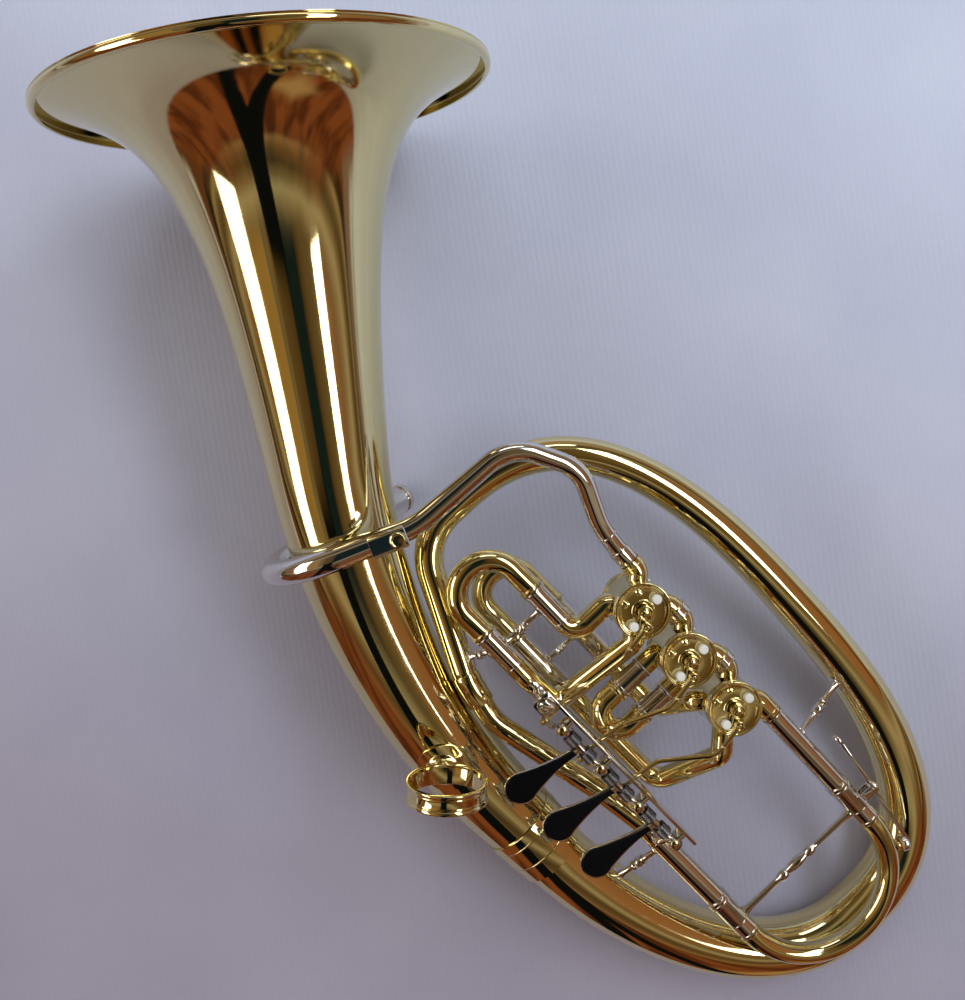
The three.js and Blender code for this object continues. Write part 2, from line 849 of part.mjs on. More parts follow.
function backCap(x) {
  const high = casingLow - seatGap;
  const flange = disc(x, 0, high - capThickness, high, casingRadius);
  const dome = disc(x, 0, high - capThickness - capLip, high, casingRadius - 2 * capLip, capSides);
  const floor = high - capThickness / 2 - seatGap;
  const socket = disc(x, 0, floor, high + overrun, stemRadius + seatGap, tubeSides);
  return cut(fuse([flange, dome]), [socket]);
}

// The arm on the rotor's stem: a lug that meets the bumpers, the pin of the link and a screw.
function stopArm() {
  const shape = new THREE.Shape();
  shape.moveTo(0, 0);
  shape.absarc(0, 0, lugReach, radians(-lugHalfAngle), radians(lugHalfAngle), false);
  shape.lineTo(0, 0);
  const lug = new THREE.ExtrudeGeometry(shape, {
    depth: armThickness,
    bevelEnabled: false,
    curveSegments,
  });
  const top = armThickness + screwHeadHeight;
  const hub = disc(0, 0, 0, top, hubRadius, roundSides);
  const groove = cut(disc(0, 0, armThickness, top + overrun, hubRadius - hubWall, roundSides), [
    disc(0, 0, armThickness - overrun, top + 2 * overrun, screwHeadRadius, smallSides),
  ]);
  const pin = disc(armPinOffset, 0, 0, pinHeight, pinRadius, smallSides);
  const socket = disc(0, 0, -overrun, armThickness / 2, stemRadius + seatGap, tubeSides);
  return cut(fuse([lug, hub, pin]), [groove, socket]);
}

for (let k = 0; k < 3; k += 1) {
  const number = k + 1;
  place(`valve_casing_${number}`, casing(k), brass);
  place(`valve_rotor_${number}`, rotor(), brass).position.set(valveX[k], 0, slideZ);
  place(`bearing_plate_${number}`, bearingPlate(valveX[k]), brass);
  place(`back_cap_${number}`, backCap(valveX[k]), brass);
  const arm = place(`stop_arm_${number}`, stopArm(), brass);
  arm.position.set(valveX[k], 0, armZ);
  arm.rotation.z = radians(armRestAngle);
  const middle = armRestAngle + rotorTravel / 2;
  const reach = rotorTravel / 2 + lugHalfAngle + bumperHalfAngle;
  [1, -1].forEach((side, i) => {
    const angle = radians(middle + side * reach);
    const shape = disc(0, 0, 0, bumperHeight, bumperRadius, smallSides);
    const bumper = place(`bumper_${number}_${"ab"[i]}`, shape, bumperWhite);
    const x = valveX[k] + bumperOffset * Math.cos(angle);
    bumper.position.set(x, bumperOffset * Math.sin(angle), faceZ + seatGap);
  });
}

// Crossover tubes between the valves

for (let k = 0; k < 2; k += 1) {
  const middle = crossMiddle(k, k + 1);
  const path = makePath([
    point(middle - crossoverHalf, tuningUpperY, slideZ),
    point(middle + crossoverHalf, tuningUpperY, slideZ),
  ]);
  const radius = tubeRadius + seatGap + tubeWall;
  place(`crossover_${k + 1}`, hollowTube(path, { radius, wall: tubeWall }), nickel);
}

// A stay that is soldered to a sleeve and stops just short of the surface round another axis.
function stay(centre, farCentre, farReach) {
  const along = farCentre.clone().sub(centre).normalize();
  const from = centre.clone().addScaledVector(along, tubeRadius - staySink);
  const to = farCentre.clone().addScaledVector(along, -farReach - seatGap);
  return brace(from, to);
}

// Slides. A sleeve is an outer tube with a rolled bead at its open end.

function sleeve(from, to) {
  const path = makePath([from, to]);
  const bead = { at: path.length - beadWidth / 2 };
  return hollowTube(path, { radius: tubeRadius, wall: tubeWall, beads: [bead] });
}

// A moving crook: full size in the middle, with a thin leg at each end that runs in a sleeve.
function crookWithLegs(corners, bend, legLength) {
  const path = makePath(bentCorners(corners, bend, crookSteps));
  const last = path.length - legLength;
  const inside = path.stations.filter(
    (s) => s > legLength + beadWidth + seatGap && s < last - beadWidth - seatGap,
  );
  const outer = [
    [0, legRadius],
    [legLength, legRadius],
    [legLength, tubeRadius + beadHeight],
    [legLength + beadWidth, tubeRadius + beadHeight],
    [legLength + beadWidth, tubeRadius],
    ...inside.map((s) => [s, tubeRadius]),
    [last - beadWidth, tubeRadius],
    [last - beadWidth, tubeRadius + beadHeight],
    [last, tubeRadius + beadHeight],
    [last, legRadius],
    [path.length, legRadius],
  ];
  const inner = [0, ...inside, path.length].map((s) => [s, legRadius - legWall]).reverse();
  return bentLathe(path, [...outer, ...inner], tubeSides);
}

// Slides 1 and 3 lie along the row: two sleeves and the crook that runs in them.
function alongSlide(number, { upperY, lowerY, z, sleeveStart, beadX, crookX, stays }) {
  const start = sleeveStart - seatGap;
  const upper = sleeve(point(start, upperY, z), point(beadX, upperY, z));
  const lower = sleeve(point(start, lowerY, z), point(beadX, lowerY, z));
  place(`slide_${number}_sleeve_upper`, upper, nickel);
  place(`slide_${number}_sleeve_lower`, fuse([lower, ...stays]), nickel);
  const half = (upperY - lowerY) / 2;
  const legEnd = beadX + (sleeveStart - beadX) * legInsertionShare;
  const corners = [
    point(legEnd, upperY, z),
    point(crookX - half, upperY, z),
    point(crookX - half, lowerY, z),
    point(legEnd, lowerY, z),
  ];
  place(`slide_${number}_crook`, crookWithLegs(corners, half, legEnd - beadX + seatGap), brass);
}

// A stay from a sleeve to the nearest place on the oval bow.
function stayToBow(centre) {
  const s = nearestStation(bowPath, centre);
  const far = bowPath.frameAt(s).origin;
  const back = centre.clone().sub(far).normalize();
  return stay(centre, far, reachTowards(bowPath, s, bowRadiusAt(s), bowSides, back));
}

alongSlide(1, {
  upperY: slide1UpperY,
  lowerY: slide1LowerY,
  z: slideZ,
  sleeveStart: slide1SleeveStart,
  beadX: slide1BeadX,
  crookX: slide1CrookX,
  stays: [
    stay(
      point(slide1StayX, slide1LowerY, slideZ),
      point(slide1StayX, slide1UpperY, slideZ),
      tubeFlat,
    ),
    stayToBow(point(slide1StayX, slide1LowerY, slideZ)),
  ],
});
alongSlide(3, {
  upperY: slide3UpperY,
  lowerY: slide3LowerY,
  z: slide3Z,
  sleeveStart: slide3SleeveStart,
  beadX: slide3BeadX,
  crookX: slide3CrookX,
  stays: [
    stay(
      point(slide3StayX, slide3LowerY, slide3Z),
      point(slide3StayX, slide3UpperY, slide3Z),
      tubeFlat,
    ),
  ],
});

// Slide 2 is the short one, across the row.
const slide2Left = valveX[1] - slide2HalfSpacing;
const slide2Right = valveX[1] + slide2HalfSpacing;
for (const [side, x] of [["left", slide2Left], ["right", slide2Right]]) {
  const start = point(x, slide2SleeveStart - seatGap, slideZ);
  place(`slide_2_sleeve_${side}`, sleeve(start, point(x, slide2BeadY, slideZ)), nickel);
}
{
  const legEnd = slide2BeadY + (slide2SleeveStart - slide2BeadY) * legInsertionShare;
  const turnY = slide2CrookY - slide2HalfSpacing;
  const corners = [
    point(slide2Left, legEnd, slideZ),
    point(slide2Left, turnY, slideZ),
    point(slide2Right, turnY, slideZ),
    point(slide2Right, legEnd, slideZ),
  ];
  const legLength = legEnd - slide2BeadY + seatGap;
  place("slide_2_crook", crookWithLegs(corners, slide2HalfSpacing, legLength), brass);
}

// Main tuning slide: sleeves stayed to the bow, legs with collars and a cross stay, and the crook

const tuningSleeve = (startX, y) =>
  sleeve(point(startX + seatGap, y, slideZ), point(tuningBeadX, y, slideZ));
place(
  "tuning_sleeve_upper",
  fuse([
    tuningSleeve(tuningSleeveStart, tuningUpperY),
    stayToBow(point(upperStayX, tuningUpperY, slideZ)),
  ]),
  nickel,
);
place(
  "tuning_sleeve_lower",
  fuse([
    tuningSleeve(lowerSleeveStart, tuningLowerY),
    stayToBow(point(lowerStayX, tuningLowerY, slideZ)),
  ]),
  nickel,
);

const collarEnd = tuningBeadX + tuningCollarLength;
function tuningLeg(y) {
  const path = makePath([
    point(tuningBeadX - tuningInsertion, y, slideZ),
    point(collarEnd, y, slideZ),
  ]);
  const collar = tuningInsertion + seatGap;
  const bore = legRadius - legWall;
  const outer = [
    [0, legRadius],
    [collar, legRadius],
    [collar, tubeRadius + beadHeight],
    [collar + beadWidth, tubeRadius + beadHeight],
    [collar + beadWidth, tubeRadius],
    [path.length, tubeRadius],
  ];
  return bentLathe(path, [...outer, [path.length, bore], [0, bore]], tubeSides);
}

// Lugs on the upper collar that carry the water key's pin.
function keySaddle() {
  const lugs = [1, -1].map((side) => {
    const middle = keyZ + side * (keyArmThickness / 2 + seatGap + keyLugThickness / 2);
    return box(
      keyPivotX - keyLugWidth / 2,
      keyPivotX + keyLugWidth / 2,
      tuningUpperY + tubeRadius - 2 * seatGap,
      keyPivotY + keyLugWidth / 2,
      middle - keyLugThickness / 2,
      middle + keyLugThickness / 2,
    );
  });
  const half = keyArmThickness / 2 + seatGap + 2 * keyLugThickness;
  const pin = disc(keyPivotX, keyPivotY, keyZ - half, keyZ + half, pinRadius, smallSides);
  const foot = box(
    keyPivotX - keyLugWidth,
    keyPivotX + keyLugWidth,
    tuningUpperY + tubeRadius - 3 * seatGap,
    tuningUpperY + tubeRadius + keyLugThickness,
    keyZ - half,
    keyZ + half,
  );
  return [...lugs, pin, foot];
}

// The cross stay is soldered to both legs.
const crossStay = stay(
  point(tuningBraceX, tuningLowerY, slideZ),
  point(tuningBraceX, tuningUpperY, slideZ),
  tubeFlat - staySink,
);
place(
  "tuning_slide_legs",
  fuse([tuningLeg(tuningUpperY), tuningLeg(tuningLowerY), crossStay, ...keySaddle()]),
  nickel,
);

// The crook with the nipple of the water key on its outer side.
const tuningHalf = (tuningUpperY - tuningLowerY) / 2;
const crookCentre = point(
  collarEnd + seatGap + beadWidth,
  (tuningUpperY + tuningLowerY) / 2,
  slideZ,
);
const nippleWay = point(Math.cos(radians(nippleAngle)), Math.sin(radians(nippleAngle)));
const onNipple = (reach) => crookCentre.clone().addScaledVector(nippleWay, tuningHalf + reach);
function tuningCrook() {
  const path = makePath(
    bentCorners(
      [
        point(collarEnd + seatGap, tuningUpperY, slideZ),
        point(crookCentre.x + tuningHalf, tuningUpperY, slideZ),
        point(crookCentre.x + tuningHalf, tuningLowerY, slideZ),
        point(collarEnd + seatGap, tuningLowerY, slideZ),
      ],
      tuningHalf,
      tuningCrookSteps,
    ),
  );
  const tube = hollowTube(path, { radius: tubeRadius, wall: tubeWall });
  const nipple = solidRod([onNipple(boreRadius), onNipple(nippleReach)], nippleRadius, smallSides);
  const drain = [onNipple(0), onNipple(nippleReach + overrun)];
  const hole = solidRod(drain, nippleRadius / 2, smallSides);
  return cut(fuse([tube, nipple]), [hole]);
}
place("tuning_slide_crook", tuningCrook(), brass);

// Water key: touch piece, arm, pivot eye, cup and cork

const corkLow = nippleReach + seatGap;
const cupLow = corkLow + corkThickness + seatGap;
const cupHigh = cupLow + cupHeight;
function waterKey() {
  const cup = solidRod([onNipple(cupLow), onNipple(cupHigh)], keyCupRadius, roundSides);
  const neck = onNipple(cupHigh);
  const arm = [
    point(keyTouchX, keyPivotY + keyTouchRise, keyZ),
    point(keyPivotX, keyPivotY, keyZ),
    neck,
  ];
  const bars = [0, 1].map((i) => {
    const middle = arm[i].clone().lerp(arm[i + 1], 0.5);
    const way = arm[i + 1].clone().sub(arm[i]);
    const bar = new THREE.BoxGeometry(way.length() + keyArmThickness, keyArmWidth, keyArmThickness);
    bar.rotateZ(Math.atan2(way.y, way.x));
    bar.translate(middle.x, middle.y, keyZ);
    return bar;
  });
  const eyeLow = keyZ - keyArmThickness / 2;
  const eye = disc(keyPivotX, keyPivotY, eyeLow, eyeLow + keyArmThickness, keyEyeRadius, roundSides);
  const touch = box(
    keyTouchX - keyTouchLength,
    keyTouchX,
    keyPivotY + keyTouchRise - keyArmWidth / 2,
    keyPivotY + keyTouchRise + keyArmWidth / 2,
    keyZ - keyTouchWidth / 2,
    keyZ + keyTouchWidth / 2,
  );
  const holeLow = keyZ - keyTouchWidth;
  const holeHigh = keyZ + keyTouchWidth;
  const hole = disc(keyPivotX, keyPivotY, holeLow, holeHigh, pinRadius + seatGap, smallSides);
  return cut(fuse([cup, ...bars, eye, touch]), [hole]);
}
place("water_key", waterKey(), nickel);
const corkEnds = [onNipple(corkLow), onNipple(corkLow + corkThickness)];
place("water_key_cork", solidRod(corkEnds, corkRadius, roundSides), corkTan);

// Lower branch: from the bow's small end under the lever work to the tuning slide

const bowIn = bowPath.frameAt(0);
const branchStart = bowIn.origin.clone().addScaledVector(bowIn.tangent, -seatGap);
place(
  "lower_branch",
  hollowTube(
    makePath(
      bentCorners(
        [
          branchStart,
          branchStart.clone().addScaledVector(bowIn.tangent, -lowerBranchTurn),
          point(lowerBranchX, tuningLowerY - lowerBranchDip, lowerBranchZ),
          point(strutX - ferruleLength / 2, tuningLowerY, slideZ),
          point(lowerSleeveStart, tuningLowerY, slideZ),
        ],
        lowerBranchBend,
      ),
    ),
    { radius: tubeRadius, wall: tubeWall },
  ),
  brass,
);

// Leadpipe: over the bell, round its side and behind it, then the mouthpiece receiver

const crossed = bellPath.frameAt(leadCrossStation);
const acrossBell = point(-crossed.tangent.y, crossed.tangent.x);
const crossing = crossed.origin.clone().addScaledVector(acrossBell, leadCrossAside);
const approach = crossing.clone().add(point(leadTurnX, leadTurnY));
const overBell = crossing.clone().sub(approach).normalize();
const widestThere = bellRadiusAt(leadCrossStation + leadpipeLargeRadius);
const leadWrapRadius = widestThere + leadpipeLargeRadius + leadBellGap;
const bellSide = crossing.clone().addScaledVector(overBell, leadWrapRadius);
const atHeight = (p, z) => point(p.x, p.y, z);
const receiverWay = point(-overBell.x, -overBell.y, -receiverDive).normalize();
const behind = atHeight(crossing.clone().addScaledVector(overBell, -leadBehind), -leadWrapRadius);
const leadEnd = behind.clone().addScaledVector(receiverWay, leadTailLength);
const leadPath = makePath(
  bentCorners(
    [
      point(valveX[0] - knuckleReach - seatGap, tuningUpperY, slideZ),
      point(leadStraightX, tuningUpperY, slideZ),
      point(leadRiseX, leadRiseY, leadZ1),
      point(leadTopX, leadTopY, leadZ2),
      point(leadShoulderX, leadShoulderY, leadZ3),
      atHeight(approach, leadWrapRadius),
      atHeight(bellSide, leadWrapRadius),
      atHeight(bellSide, -leadWrapRadius),
      behind,
      leadEnd,
    ],
    [
      leadRiseBend,
      leadRiseBend,
      leadTopBend,
      leadShoulderBend,
      leadApproachBend,
      leadWrapRadius - seatGap,
      leadWrapRadius - seatGap,
      leadTailBend,
    ],
    leadBendSteps,
  ),
);
const leadRadiusAt = (s) => {
  const share = (s / leadPath.length - leadTaperStartShare) / (leadTaperEndShare - leadTaperStartShare);
  const held = Math.min(Math.max(share, 0), 1);
  return leadpipeSmallRadius + (leadpipeLargeRadius - leadpipeSmallRadius) * held;
};
place(
  "leadpipe",
  hollowTube(leadPath, {
    radius: leadRadiusAt,
    wall: leadpipeWall,
    beads: [{ at: leadCollarLength / 2, width: leadCollarLength, height: beadHeight }],
  }),
  nickel,
);
const receiverStart = leadEnd.clone().addScaledVector(receiverWay, seatGap);
const receiverEnd = receiverStart.clone().addScaledVector(receiverWay, receiverLength);
place(
  "mouthpiece_receiver",
  hollowTube(makePath([receiverStart, receiverEnd]), {
    radius: receiverRadius,
    wall: receiverWall,
    sides: receiverSides,
    beads: [{ at: beadWidth / 2 }, { at: receiverLength - beadWidth, width: 2 * beadWidth }],
  }),
  nickel,
);

// Lyre holder: a square socket on the leadpipe, with its clamping screw

const lyre = new THREE.Group();
const lyreFoot = approach.clone().addScaledVector(overBell, lyreAlong);
lyre.position.set(lyreFoot.x, lyreFoot.y, leadWrapRadius + leadpipeLargeRadius + seatGap);
lyre.rotation.z = Math.atan2(overBell.y, overBell.x);
horn.add(lyre);
const lyreBody = box(-lyreLength / 2, lyreLength / 2, -lyreWidth / 2, lyreWidth / 2, 0, lyreHeight);
const lyreSocket = box(
  -lyreLength,
  lyreLength,
  -lyreWidth / 2 + lyreWall,
  lyreWidth / 2 - lyreWall,
  lyreWall,
  lyreHeight - lyreWall,
);
const screwX = -lyreLength / 4;
const tapRadius = pinRadius + 2 * seatGap;
const lyreTap = disc(screwX, 0, lyreHeight / 2, lyreHeight + overrun, tapRadius, roundSides);
place("lyre_holder", cut(lyreBody, [lyreSocket, lyreTap]), nickel, lyre);
const lyreScrew = fuse([
  disc(0, 0, -lyreHeight / 3, lyreScrewHead, pinRadius + seatGap, smallSides),
  disc(0, 0, seatGap, lyreScrewHead, lyreScrewRadius, capSides),
]);
place("lyre_screw", lyreScrew, brass, lyre).position.set(screwX, 0, lyreHeight);

// Lever work: the upright strip with its ears and feet, the rod, and three sprung levers

const leverX = [-1, 0, 1].map((k) => leverMiddleX + k * leverPitch);
const earX = [-1.5, -0.5, 0.5, 1.5].map((k) => leverMiddleX + k * leverPitch);
const stripLow = rodZ - stripHeight;
const stripTop = rodZ + earRadius / 2;
function leverStrip() {
  const first = earX[0] - stripOverhang;
  const last = earX[3] + stripOverhang;
  const half = stripThickness / 2;
  const strip = box(first, last, stripY - half, stripY + half, stripLow, stripTop);
  const earLow = rodZ - earRadius;
  const earHigh = rodZ + earRadius;
  const ears = earX.map((x) => {
    const left = x - earThickness / 2;
    const right = x + earThickness / 2;
    return [
      box(left, right, rodY, stripY, earLow, earHigh),
      barX(left, right, rodY, rodZ, earRadius),
      disc(x, rodY, earHigh - seatGap, earHigh + screwHeadHeight, screwHeadRadius, smallSides),
    ];
  });
  const footX = first - stripFootSize / 2 + half;
  const foot = box(
    footX - stripFootSize / 2,
    footX + stripFootSize / 2,
    stripY - stripFootSize,
    stripY + half,
    rodZ - earThickness,
    rodZ,
  );
  const footY = stripY - stripFootSize / 2;
  const knobHigh = rodZ + screwHeadHeight;
  const knob = disc(footX, footY, rodZ - half, knobHigh, 2 * screwHeadRadius, smallSides);
  const postLow = slideZ + tubeFlat + seatGap;
  const post = disc(footX - half, slide1LowerY, postLow, rodZ - half, stripPostRadius, smallSides);
  const strut = solidRod(
    [
      point(strutX, tuningLowerY, slideZ + tubeFlat + seatGap),
      point(strutX, tuningLowerY, stripLow - strutRadius),
      point(last - strutRadius, stripY, stripLow + 2 * strutRadius),
    ],
    strutRadius,
    smallSides,
  );
  const holes = barX(first, last, rodY, rodZ, rodRadius + seatGap);
  return cut(fuse([strip, ...ears.flat(), foot, knob, post, strut]), [holes]);
}
place("lever_bracket", leverStrip(), nickel);
const rodHigh = earX[3] + 2 * earThickness;
const headLow = earX[3] + earThickness / 2 + seatGap;
place(
  "hinge_rod",
  fuse([
    barX(earX[0] - earThickness, rodHigh, rodY, rodZ, rodRadius),
    barX(headLow, rodHigh, rodY, rodZ, earRadius - seatGap),
  ]),
  steel,
);

// The outline of a finger plate, seen from above with the rod along X and the tip towards -Y.
function paddleOutline(inset, start) {
  const neck = paddleNeck - inset / 2;
  const round = paddleRadius - inset;
  const tipY = -(paddleLength - paddleRadius);
  const tipX = tipY * Math.tan(radians(paddleSlant));
  const meet = radians(paddleMeetAngle);
  const waistY = tipY * paddleWaistShare;
  const waistX = tipX * paddleWaistShare;
  const shape = new THREE.Shape();
  shape.moveTo(neck, start);
  const shoulderX = tipX + round * Math.cos(meet);
  const shoulderY = tipY + round * Math.sin(meet);
  shape.quadraticCurveTo(neck + waistX, waistY, shoulderX, shoulderY);
  shape.absarc(tipX, tipY, round, meet, Math.PI - meet, true);
  shape.quadraticCurveTo(waistX - neck, waistY, -neck, start);
  shape.closePath();
  return shape;
}

function paddlePlate(inset, start, depth, lift) {
  const plate = new THREE.ExtrudeGeometry(paddleOutline(inset, start), {
    depth,
    bevelEnabled: false,
    curveSegments,
  });
  plate.translate(0, 0, lift);
  plate.rotateX(Math.atan2(paddleDrop, paddleLength));
  return plate;
}

const sleeveHalf = leverPitch / 2 - earThickness / 2 - seatGap;
const crankMiddle = -sleeveHalf + crankThickness / 2;
function lever() {
  const tube = barX(-sleeveHalf, sleeveHalf, 0, 0, sleeveRadius);
  const plate = paddlePlate(0, 0, paddleThickness, -paddleThickness / 2);
  const pocketLow = paddleThickness / 2 - pocketDepth;
  const pocket = paddlePlate(paddleRim, -sleeveRadius - paddleRim, pocketDepth + overrun, pocketLow);
  const crank = box(
    crankMiddle - crankThickness / 2,
    crankMiddle + crankThickness / 2,
    -crankHalfWidth,
    crankHalfWidth,
    -crankRadius,
    0,
  );
  const end = barX(
    crankMiddle - crankThickness / 2,
    crankMiddle + crankThickness / 2,
    0,
    -crankRadius,
    crankHalfWidth,
  );
  const pinEnd = crankMiddle - crankThickness / 2 - crankPinLength;
  const pin = barX(pinEnd, crankMiddle, 0, -crankRadius, crankPinRadius);
  const arm = fuse([crank, end, pin]);
  arm.rotateX(radians(-leverTravel / 2));
  const hole = barX(-leverPitch, leverPitch, 0, 0, rodRadius + seatGap);
  return cut(fuse([tube, cut(plate, [pocket]), arm]), [hole]);
}

function inlay() {
  const lift = paddleThickness / 2 - pocketDepth + seatGap;
  return paddlePlate(paddleRim + seatGap, -sleeveRadius - 2 * paddleRim, inlayThickness, lift);
}

// A double torsion spring: two coils joined over the lever's sleeve, wound as one wire.
function springPoints() {
  const turns = springCurls + springTailShare;
  const coilStart = springMiddleGap + springPitch * turns;
  const left = [point(-coilStart, springRadius, -springLeg)];
  for (let i = 0; i <= springSteps * turns; i += 1) {
    const angle = (2 * Math.PI * i) / springSteps;
    const x = -coilStart + (springPitch * i) / springSteps;
    left.push(point(x, springRadius * Math.cos(angle), springRadius * Math.sin(angle)));
  }
  const right = left.map((p) => point(-p.x, p.y, p.z)).reverse();
  return [...left, ...right];
}

// The least gap between stretches of one wire that are at least half a curl apart along it.
function leastSelfGap(points, wire) {
  let least = Infinity;
  for (let i = 0; i < points.length; i += 1) {
    for (let j = i + springSteps / 2 + 1; j < points.length; j += 1) {
      least = Math.min(least, points[i].distanceTo(points[j]) - 2 * wire);
    }
  }
  return least;
}
const springGap = leastSelfGap(springPoints(), springWire);
console.log("least gap of a spring to itself, mm:", springGap.toFixed(2));

// Links: bent rods with an eye on the stop arm's pin and one on the crank's pin
function link(k) {
  const pinAngle = radians(armRestAngle);
  const pinX = valveX[k] + armPinOffset * Math.cos(pinAngle);
  const pinY = armPinOffset * Math.sin(pinAngle);
  const highZ = armZ + armThickness + seatGap + eyeThickness / 2;
  const crankY = rodY - crankRadius * Math.sin(radians(leverTravel / 2));
  const crankZ = rodZ - crankRadius * Math.cos(radians(leverTravel / 2));
  const eyeX = leverX[k] + crankMiddle - crankThickness / 2 - openEyeShift;
  const span = crankY - pinY;
  const corners = [
    point(pinX, pinY, highZ),
    point(pinX + linkBow, pinY + span * linkBendShares[0], highZ),
    point(eyeX + linkBow / 2, pinY + span * linkBendShares[1], crankZ + linkDrop),
    point(eyeX, pinY + span * linkBendShares[2], crankZ),
    point(eyeX, crankY, crankZ),
  ];
  const bends = [linkBendRadius, linkBendRadius, 2 * eyeRadius];
  const rod = solidRod(bentCorners(corners, bends), linkRadius);
  const half = eyeThickness / 2;
  const armEye = disc(pinX, pinY, highZ - half, highZ + half, eyeRadius, roundSides);
  const crankEye = barX(eyeX - half, eyeX + half, crankY, crankZ, openEyeRadius);
  const holeRadius = pinRadius + eyeClearance;
  const armHole = disc(pinX, pinY, highZ - eyeRadius, highZ + eyeRadius, holeRadius, smallSides);
  const crankHole = barX(
    eyeX - openEyeRadius,
    eyeX + openEyeRadius,
    crankY,
    crankZ,
    crankPinRadius + openEyeClearance,
  );
  return cut(fuse([rod, armEye, crankEye]), [armHole, crankHole]);
}

for (let k = 0; k < 3; k += 1) {
  const number = k + 1;
  place(`lever_${number}`, lever(), nickel).position.set(leverX[k], rodY, rodZ);
  place(`paddle_inlay_${number}`, inlay(), inlayBlack).position.set(leverX[k], rodY, rodZ);
  const spring = place(`lever_spring_${number}`, solidRod(springPoints(), springWire, springSides), steel);
  spring.position.set(leverX[k], rodY, rodZ);
  place(`link_${number}`, link(k), brass);
}

// Thumb ring on its post and saddle on the bell bow

function thumbRing() {
  let s = 0;
  while (bellPath.frameAt(s).origin.x > thumbRingX) s += seatGap;
  const axis = bellPath.frameAt(s);
  const aside = axis.tangent.clone().cross(point(0, 0, 1)).setLength(-thumbRingAside);
  const centre = axis.origin.clone().add(aside);
  const reach = 2 * thumbBaseRadius;
  const under = (offset) =>
    solidAlong(
      bellPath,
      stationsBetween(bellPath, s - reach, s + reach).map((at) => [at, bellRadiusAt(at) + offset]),
      bellSides,
    );
  const bellRadius = bellRadiusAt(s) + seatGap;
  const rise = Math.sqrt(bellRadius ** 2 - thumbRingAside ** 2);
  const saddleHigh = rise + thumbBaseThickness;
  const standing = disc(centre.x, centre.y, 0, saddleHigh + overrun, thumbBaseRadius, thumbBaseSides);
  const sheet = solidOf(standing)
    .intersect(solidOf(under(seatGap + thumbBaseThickness)))
    .subtract(solidOf(under(seatGap)));
  const ringZ = saddleHigh + thumbPostHeight + thumbRingRadius;
  const postHigh = ringZ - thumbRingRadius + thumbRingWall;
  const column = disc(centre.x, centre.y, 0, postHigh, thumbPostRadius, thumbBaseSides);
  const post = solidOf(column).subtract(solidOf(under(seatGap)));
  const ringWay = point(Math.cos(radians(thumbRingAngle)), Math.sin(radians(thumbRingAngle)));
  const middle = point(centre.x, centre.y, ringZ);
  const path = makePath([
    middle.clone().addScaledVector(ringWay, -thumbRingWidth / 2),
    middle.clone().addScaledVector(ringWay, thumbRingWidth / 2),
  ]);
  const ring = hollowTube(path, {
    radius: thumbRingRadius,
    wall: thumbRingWall,
    sides: thumbRingSides,
    beads: [{ at: beadWidth / 2 }, { at: thumbRingWidth - beadWidth / 2 }],
  });
  const ends = [path.frameAt(0).origin, path.frameAt(thumbRingWidth).origin];
  const bore = solidRod(extended(ends, overrun), thumbRingRadius - thumbRingWall, thumbRingSides);
  const whole = solidOf(ring).add(sheet).add(post);
  return cut(geometryOf(whole), [bore]);
}
place("thumb_ring", thumbRing(), brass);

// The horn laid down: tilted as it rests on its rim and bow, with the bell towards +Y

horn.rotation.set(radians(restRoll), radians(restTilt), 0);
const laid = new THREE.Group();
laid.rotation.z = radians(bellTurn);
laid.add(horn);
laid.updateMatrixWorld(true);
const bounds = new THREE.Box3().setFromObject(laid, true);
const middle = bounds.getCenter(new THREE.Vector3());
laid.position.set(-middle.x, -middle.y, -bounds.min.z);
const instrument = new THREE.Group();
instrument.add(laid);

export default instrument;
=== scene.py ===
import json
import math

import bpy
import numpy as np
from mathutils import Matrix, Vector


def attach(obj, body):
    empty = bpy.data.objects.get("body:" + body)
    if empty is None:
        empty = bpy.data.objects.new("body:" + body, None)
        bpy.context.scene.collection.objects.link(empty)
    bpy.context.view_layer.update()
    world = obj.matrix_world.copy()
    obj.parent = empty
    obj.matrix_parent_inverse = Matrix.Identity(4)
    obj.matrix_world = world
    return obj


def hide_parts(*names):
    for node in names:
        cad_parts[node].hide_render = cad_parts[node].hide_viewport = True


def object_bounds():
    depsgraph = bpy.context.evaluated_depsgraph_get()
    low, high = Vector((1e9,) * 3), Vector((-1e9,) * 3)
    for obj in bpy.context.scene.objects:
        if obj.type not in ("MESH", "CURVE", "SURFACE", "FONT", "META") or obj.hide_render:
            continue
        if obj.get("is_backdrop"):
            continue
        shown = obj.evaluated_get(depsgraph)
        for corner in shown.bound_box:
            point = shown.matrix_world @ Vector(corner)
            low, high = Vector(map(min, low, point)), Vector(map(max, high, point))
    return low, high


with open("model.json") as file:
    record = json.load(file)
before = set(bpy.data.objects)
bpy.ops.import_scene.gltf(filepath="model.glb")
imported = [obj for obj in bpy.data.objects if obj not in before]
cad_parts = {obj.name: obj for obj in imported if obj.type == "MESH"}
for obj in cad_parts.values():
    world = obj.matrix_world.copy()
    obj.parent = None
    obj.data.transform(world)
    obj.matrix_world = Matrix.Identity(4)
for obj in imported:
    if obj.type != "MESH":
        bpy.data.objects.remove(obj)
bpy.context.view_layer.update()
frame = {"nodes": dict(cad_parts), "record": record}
bodies = frame["record"]["behaviour"]["bodies"]
bodyOfNode = {node: name for name, nodes in bodies.items() for node in nodes}

